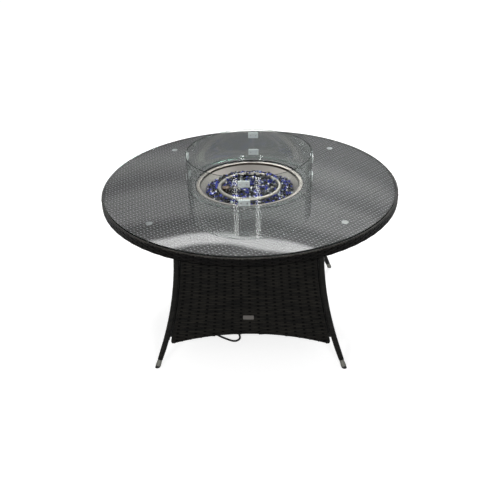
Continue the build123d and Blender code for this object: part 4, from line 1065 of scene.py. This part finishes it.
floorShine = addMath(floorTree, "MULTIPLY", floorPath.outputs["Is Glossy Ray"], studio["floorGloss"])
floorGlow = addMath(floorTree, "MULTIPLY_ADD", floorSeen, studio["floorGlow"], floorShine)
floorTree.links.new(floorGlow, floorShader.inputs["Emission Strength"])
floor.data.materials.append(floorMaterial)

world = bpy.data.worlds.new("whiteStudio")
scene.world = world
world.use_nodes = True
tree = world.node_tree
tree.nodes.clear()
path = addNode(tree, "ShaderNodeLightPath")
seen = addMath(tree, "MAXIMUM", path.outputs["Is Camera Ray"], path.outputs["Is Transmission Ray"])
heading = addNode(tree, "ShaderNodeTexCoord")
heading = addNode(tree, "ShaderNodeSeparateXYZ", {"Vector": heading.outputs["Generated"]})
shade = addNode(tree, "ShaderNodeMapRange", {
    "Value": heading.outputs["Y"], "From Min": studio["roomTurn"][0], "From Max": studio["roomTurn"][1],
    "To Min": studio["roomGloss"], "To Max": 1.0})
light = addNode(tree, "ShaderNodeBackground", {"Color": white, "Strength": studio["worldLight"]})
gloss = addNode(tree, "ShaderNodeBackground", {"Color": white, "Strength": shade.outputs["Result"]})
backdrop = addNode(tree, "ShaderNodeBackground", {"Color": white, "Strength": 1.0})
mixed = addNode(tree, "ShaderNodeMixShader", {
    0: path.outputs["Is Glossy Ray"], 1: light.outputs["Background"], 2: gloss.outputs["Background"]})
mixed = addNode(tree, "ShaderNodeMixShader", {
    0: seen, 1: mixed.outputs["Shader"], 2: backdrop.outputs["Background"]})
addNode(tree, "ShaderNodeOutputWorld", {"Surface": mixed.outputs["Shader"]})


def addSoftbox(name, place, power, width, height):
    lamp = bpy.data.lights.new(name, "AREA")
    lamp.shape = "RECTANGLE"
    lamp.energy = power
    lamp.size = width
    lamp.size_y = height
    thing = bpy.data.objects.new(name, lamp)
    thing.location = place
    aim = Vector(studio["softboxAim"]) - Vector(place)
    thing.rotation_euler = aim.to_track_quat("-Z", "Y").to_euler()
    scene.collection.objects.link(thing)


for name, box in studio["softboxes"].items():
    addSoftbox(name, *box)


def hangReflector():
    # a banded cloth behind the table, which only gloss sees, so that the glass top mirrors a studio
    mesh = newMesh()
    span = studio["cardHigh"] - studio["cardLow"]
    bmesh.ops.create_grid(mesh, x_segments=1, y_segments=1, size=0.5)
    bmesh.ops.scale(mesh, verts=mesh.verts, vec=(studio["cardWidth"], span, 1))
    middle = (studio["cardHigh"] + studio["cardLow"]) / 2
    upright = Matrix.Translation((0, studio["cardPlace"], middle)) @ Matrix.Rotation(math.pi / 2, 4, "X")
    bmesh.ops.transform(mesh, verts=mesh.verts, matrix=upright)
    card = linkMesh("studioReflector", mesh)
    material = bpy.data.materials.new("bandedReflectorCloth")
    material.use_nodes = True
    tree = material.node_tree
    tree.nodes.clear()
    place = addNode(tree, "ShaderNodeTexCoord")
    folds = addNode(tree, "ShaderNodeTexNoise", {
        "Vector": place.outputs["Object"], "Scale": studio["cardFolds"], "Detail": 1})
    split = addNode(tree, "ShaderNodeSeparateXYZ", {"Vector": place.outputs["Object"]})
    sway = addMath(tree, "SUBTRACT", folds.outputs["Fac"], 0.5)
    sway = addMath(tree, "MULTIPLY_ADD", sway, studio["cardSway"], split.outputs["Z"])
    aside = addMath(tree, "SUBTRACT", split.outputs["X"], studio["cardCrest"])
    aside = addMath(tree, "MULTIPLY", aside, aside)
    sway = addMath(tree, "MULTIPLY_ADD", aside, studio["cardBend"], sway)
    level = addNode(tree, "ShaderNodeMapRange", {
        "Value": sway, "From Min": studio["cardLow"], "From Max": studio["cardHigh"]})
    ramp = addNode(tree, "ShaderNodeValToRGB", {"Fac": level.outputs["Result"]})
    ramp.color_ramp.interpolation = "EASE"
    stops = ramp.color_ramp.elements
    for index, (height, bright) in enumerate(studio["cardBands"]):
        stop = stops[index] if index < 2 else stops.new(0.999)  # a new ramp has two stops
        stop.position = (height - studio["cardLow"]) / span
        stop.color = (bright, bright, bright, 1)
    glow = addNode(tree, "ShaderNodeEmission", {
        "Color": ramp.outputs["Color"], "Strength": studio["cardStrength"]})
    clear = addNode(tree, "ShaderNodeBsdfTransparent")
    path = addNode(tree, "ShaderNodeLightPath")
    mix = addNode(tree, "ShaderNodeMixShader", {
        0: path.outputs["Is Glossy Ray"], 1: clear.outputs["BSDF"], 2: glow.outputs["Emission"]})
    addNode(tree, "ShaderNodeOutputMaterial", {"Surface": mix.outputs["Shader"]})
    card.data.materials.append(material)


hangReflector()

# The photo's camera: metres, degrees and millimetres of lens
view = {
    "place": (0.1118, -2.6888, 1.9774),
    "turn": math.radians(2.511),
    "down": math.radians(30.743),
    "roll": math.radians(-1.577),
    "lens": 45.475,
    "sensor": 36,
}
cameraData = bpy.data.cameras.new("photoCamera")
cameraData.lens = view["lens"]
cameraData.sensor_width = view["sensor"]
camera = bpy.data.objects.new("photoCamera", cameraData)
camera.matrix_world = (
    Matrix.Translation(view["place"]) @ Matrix.Rotation(view["turn"], 4, "Z")
    @ Matrix.Rotation(math.radians(90) - view["down"], 4, "X") @ Matrix.Rotation(view["roll"], 4, "Z"))
scene.collection.objects.link(camera)
scene.camera = camera
print("studio and camera")
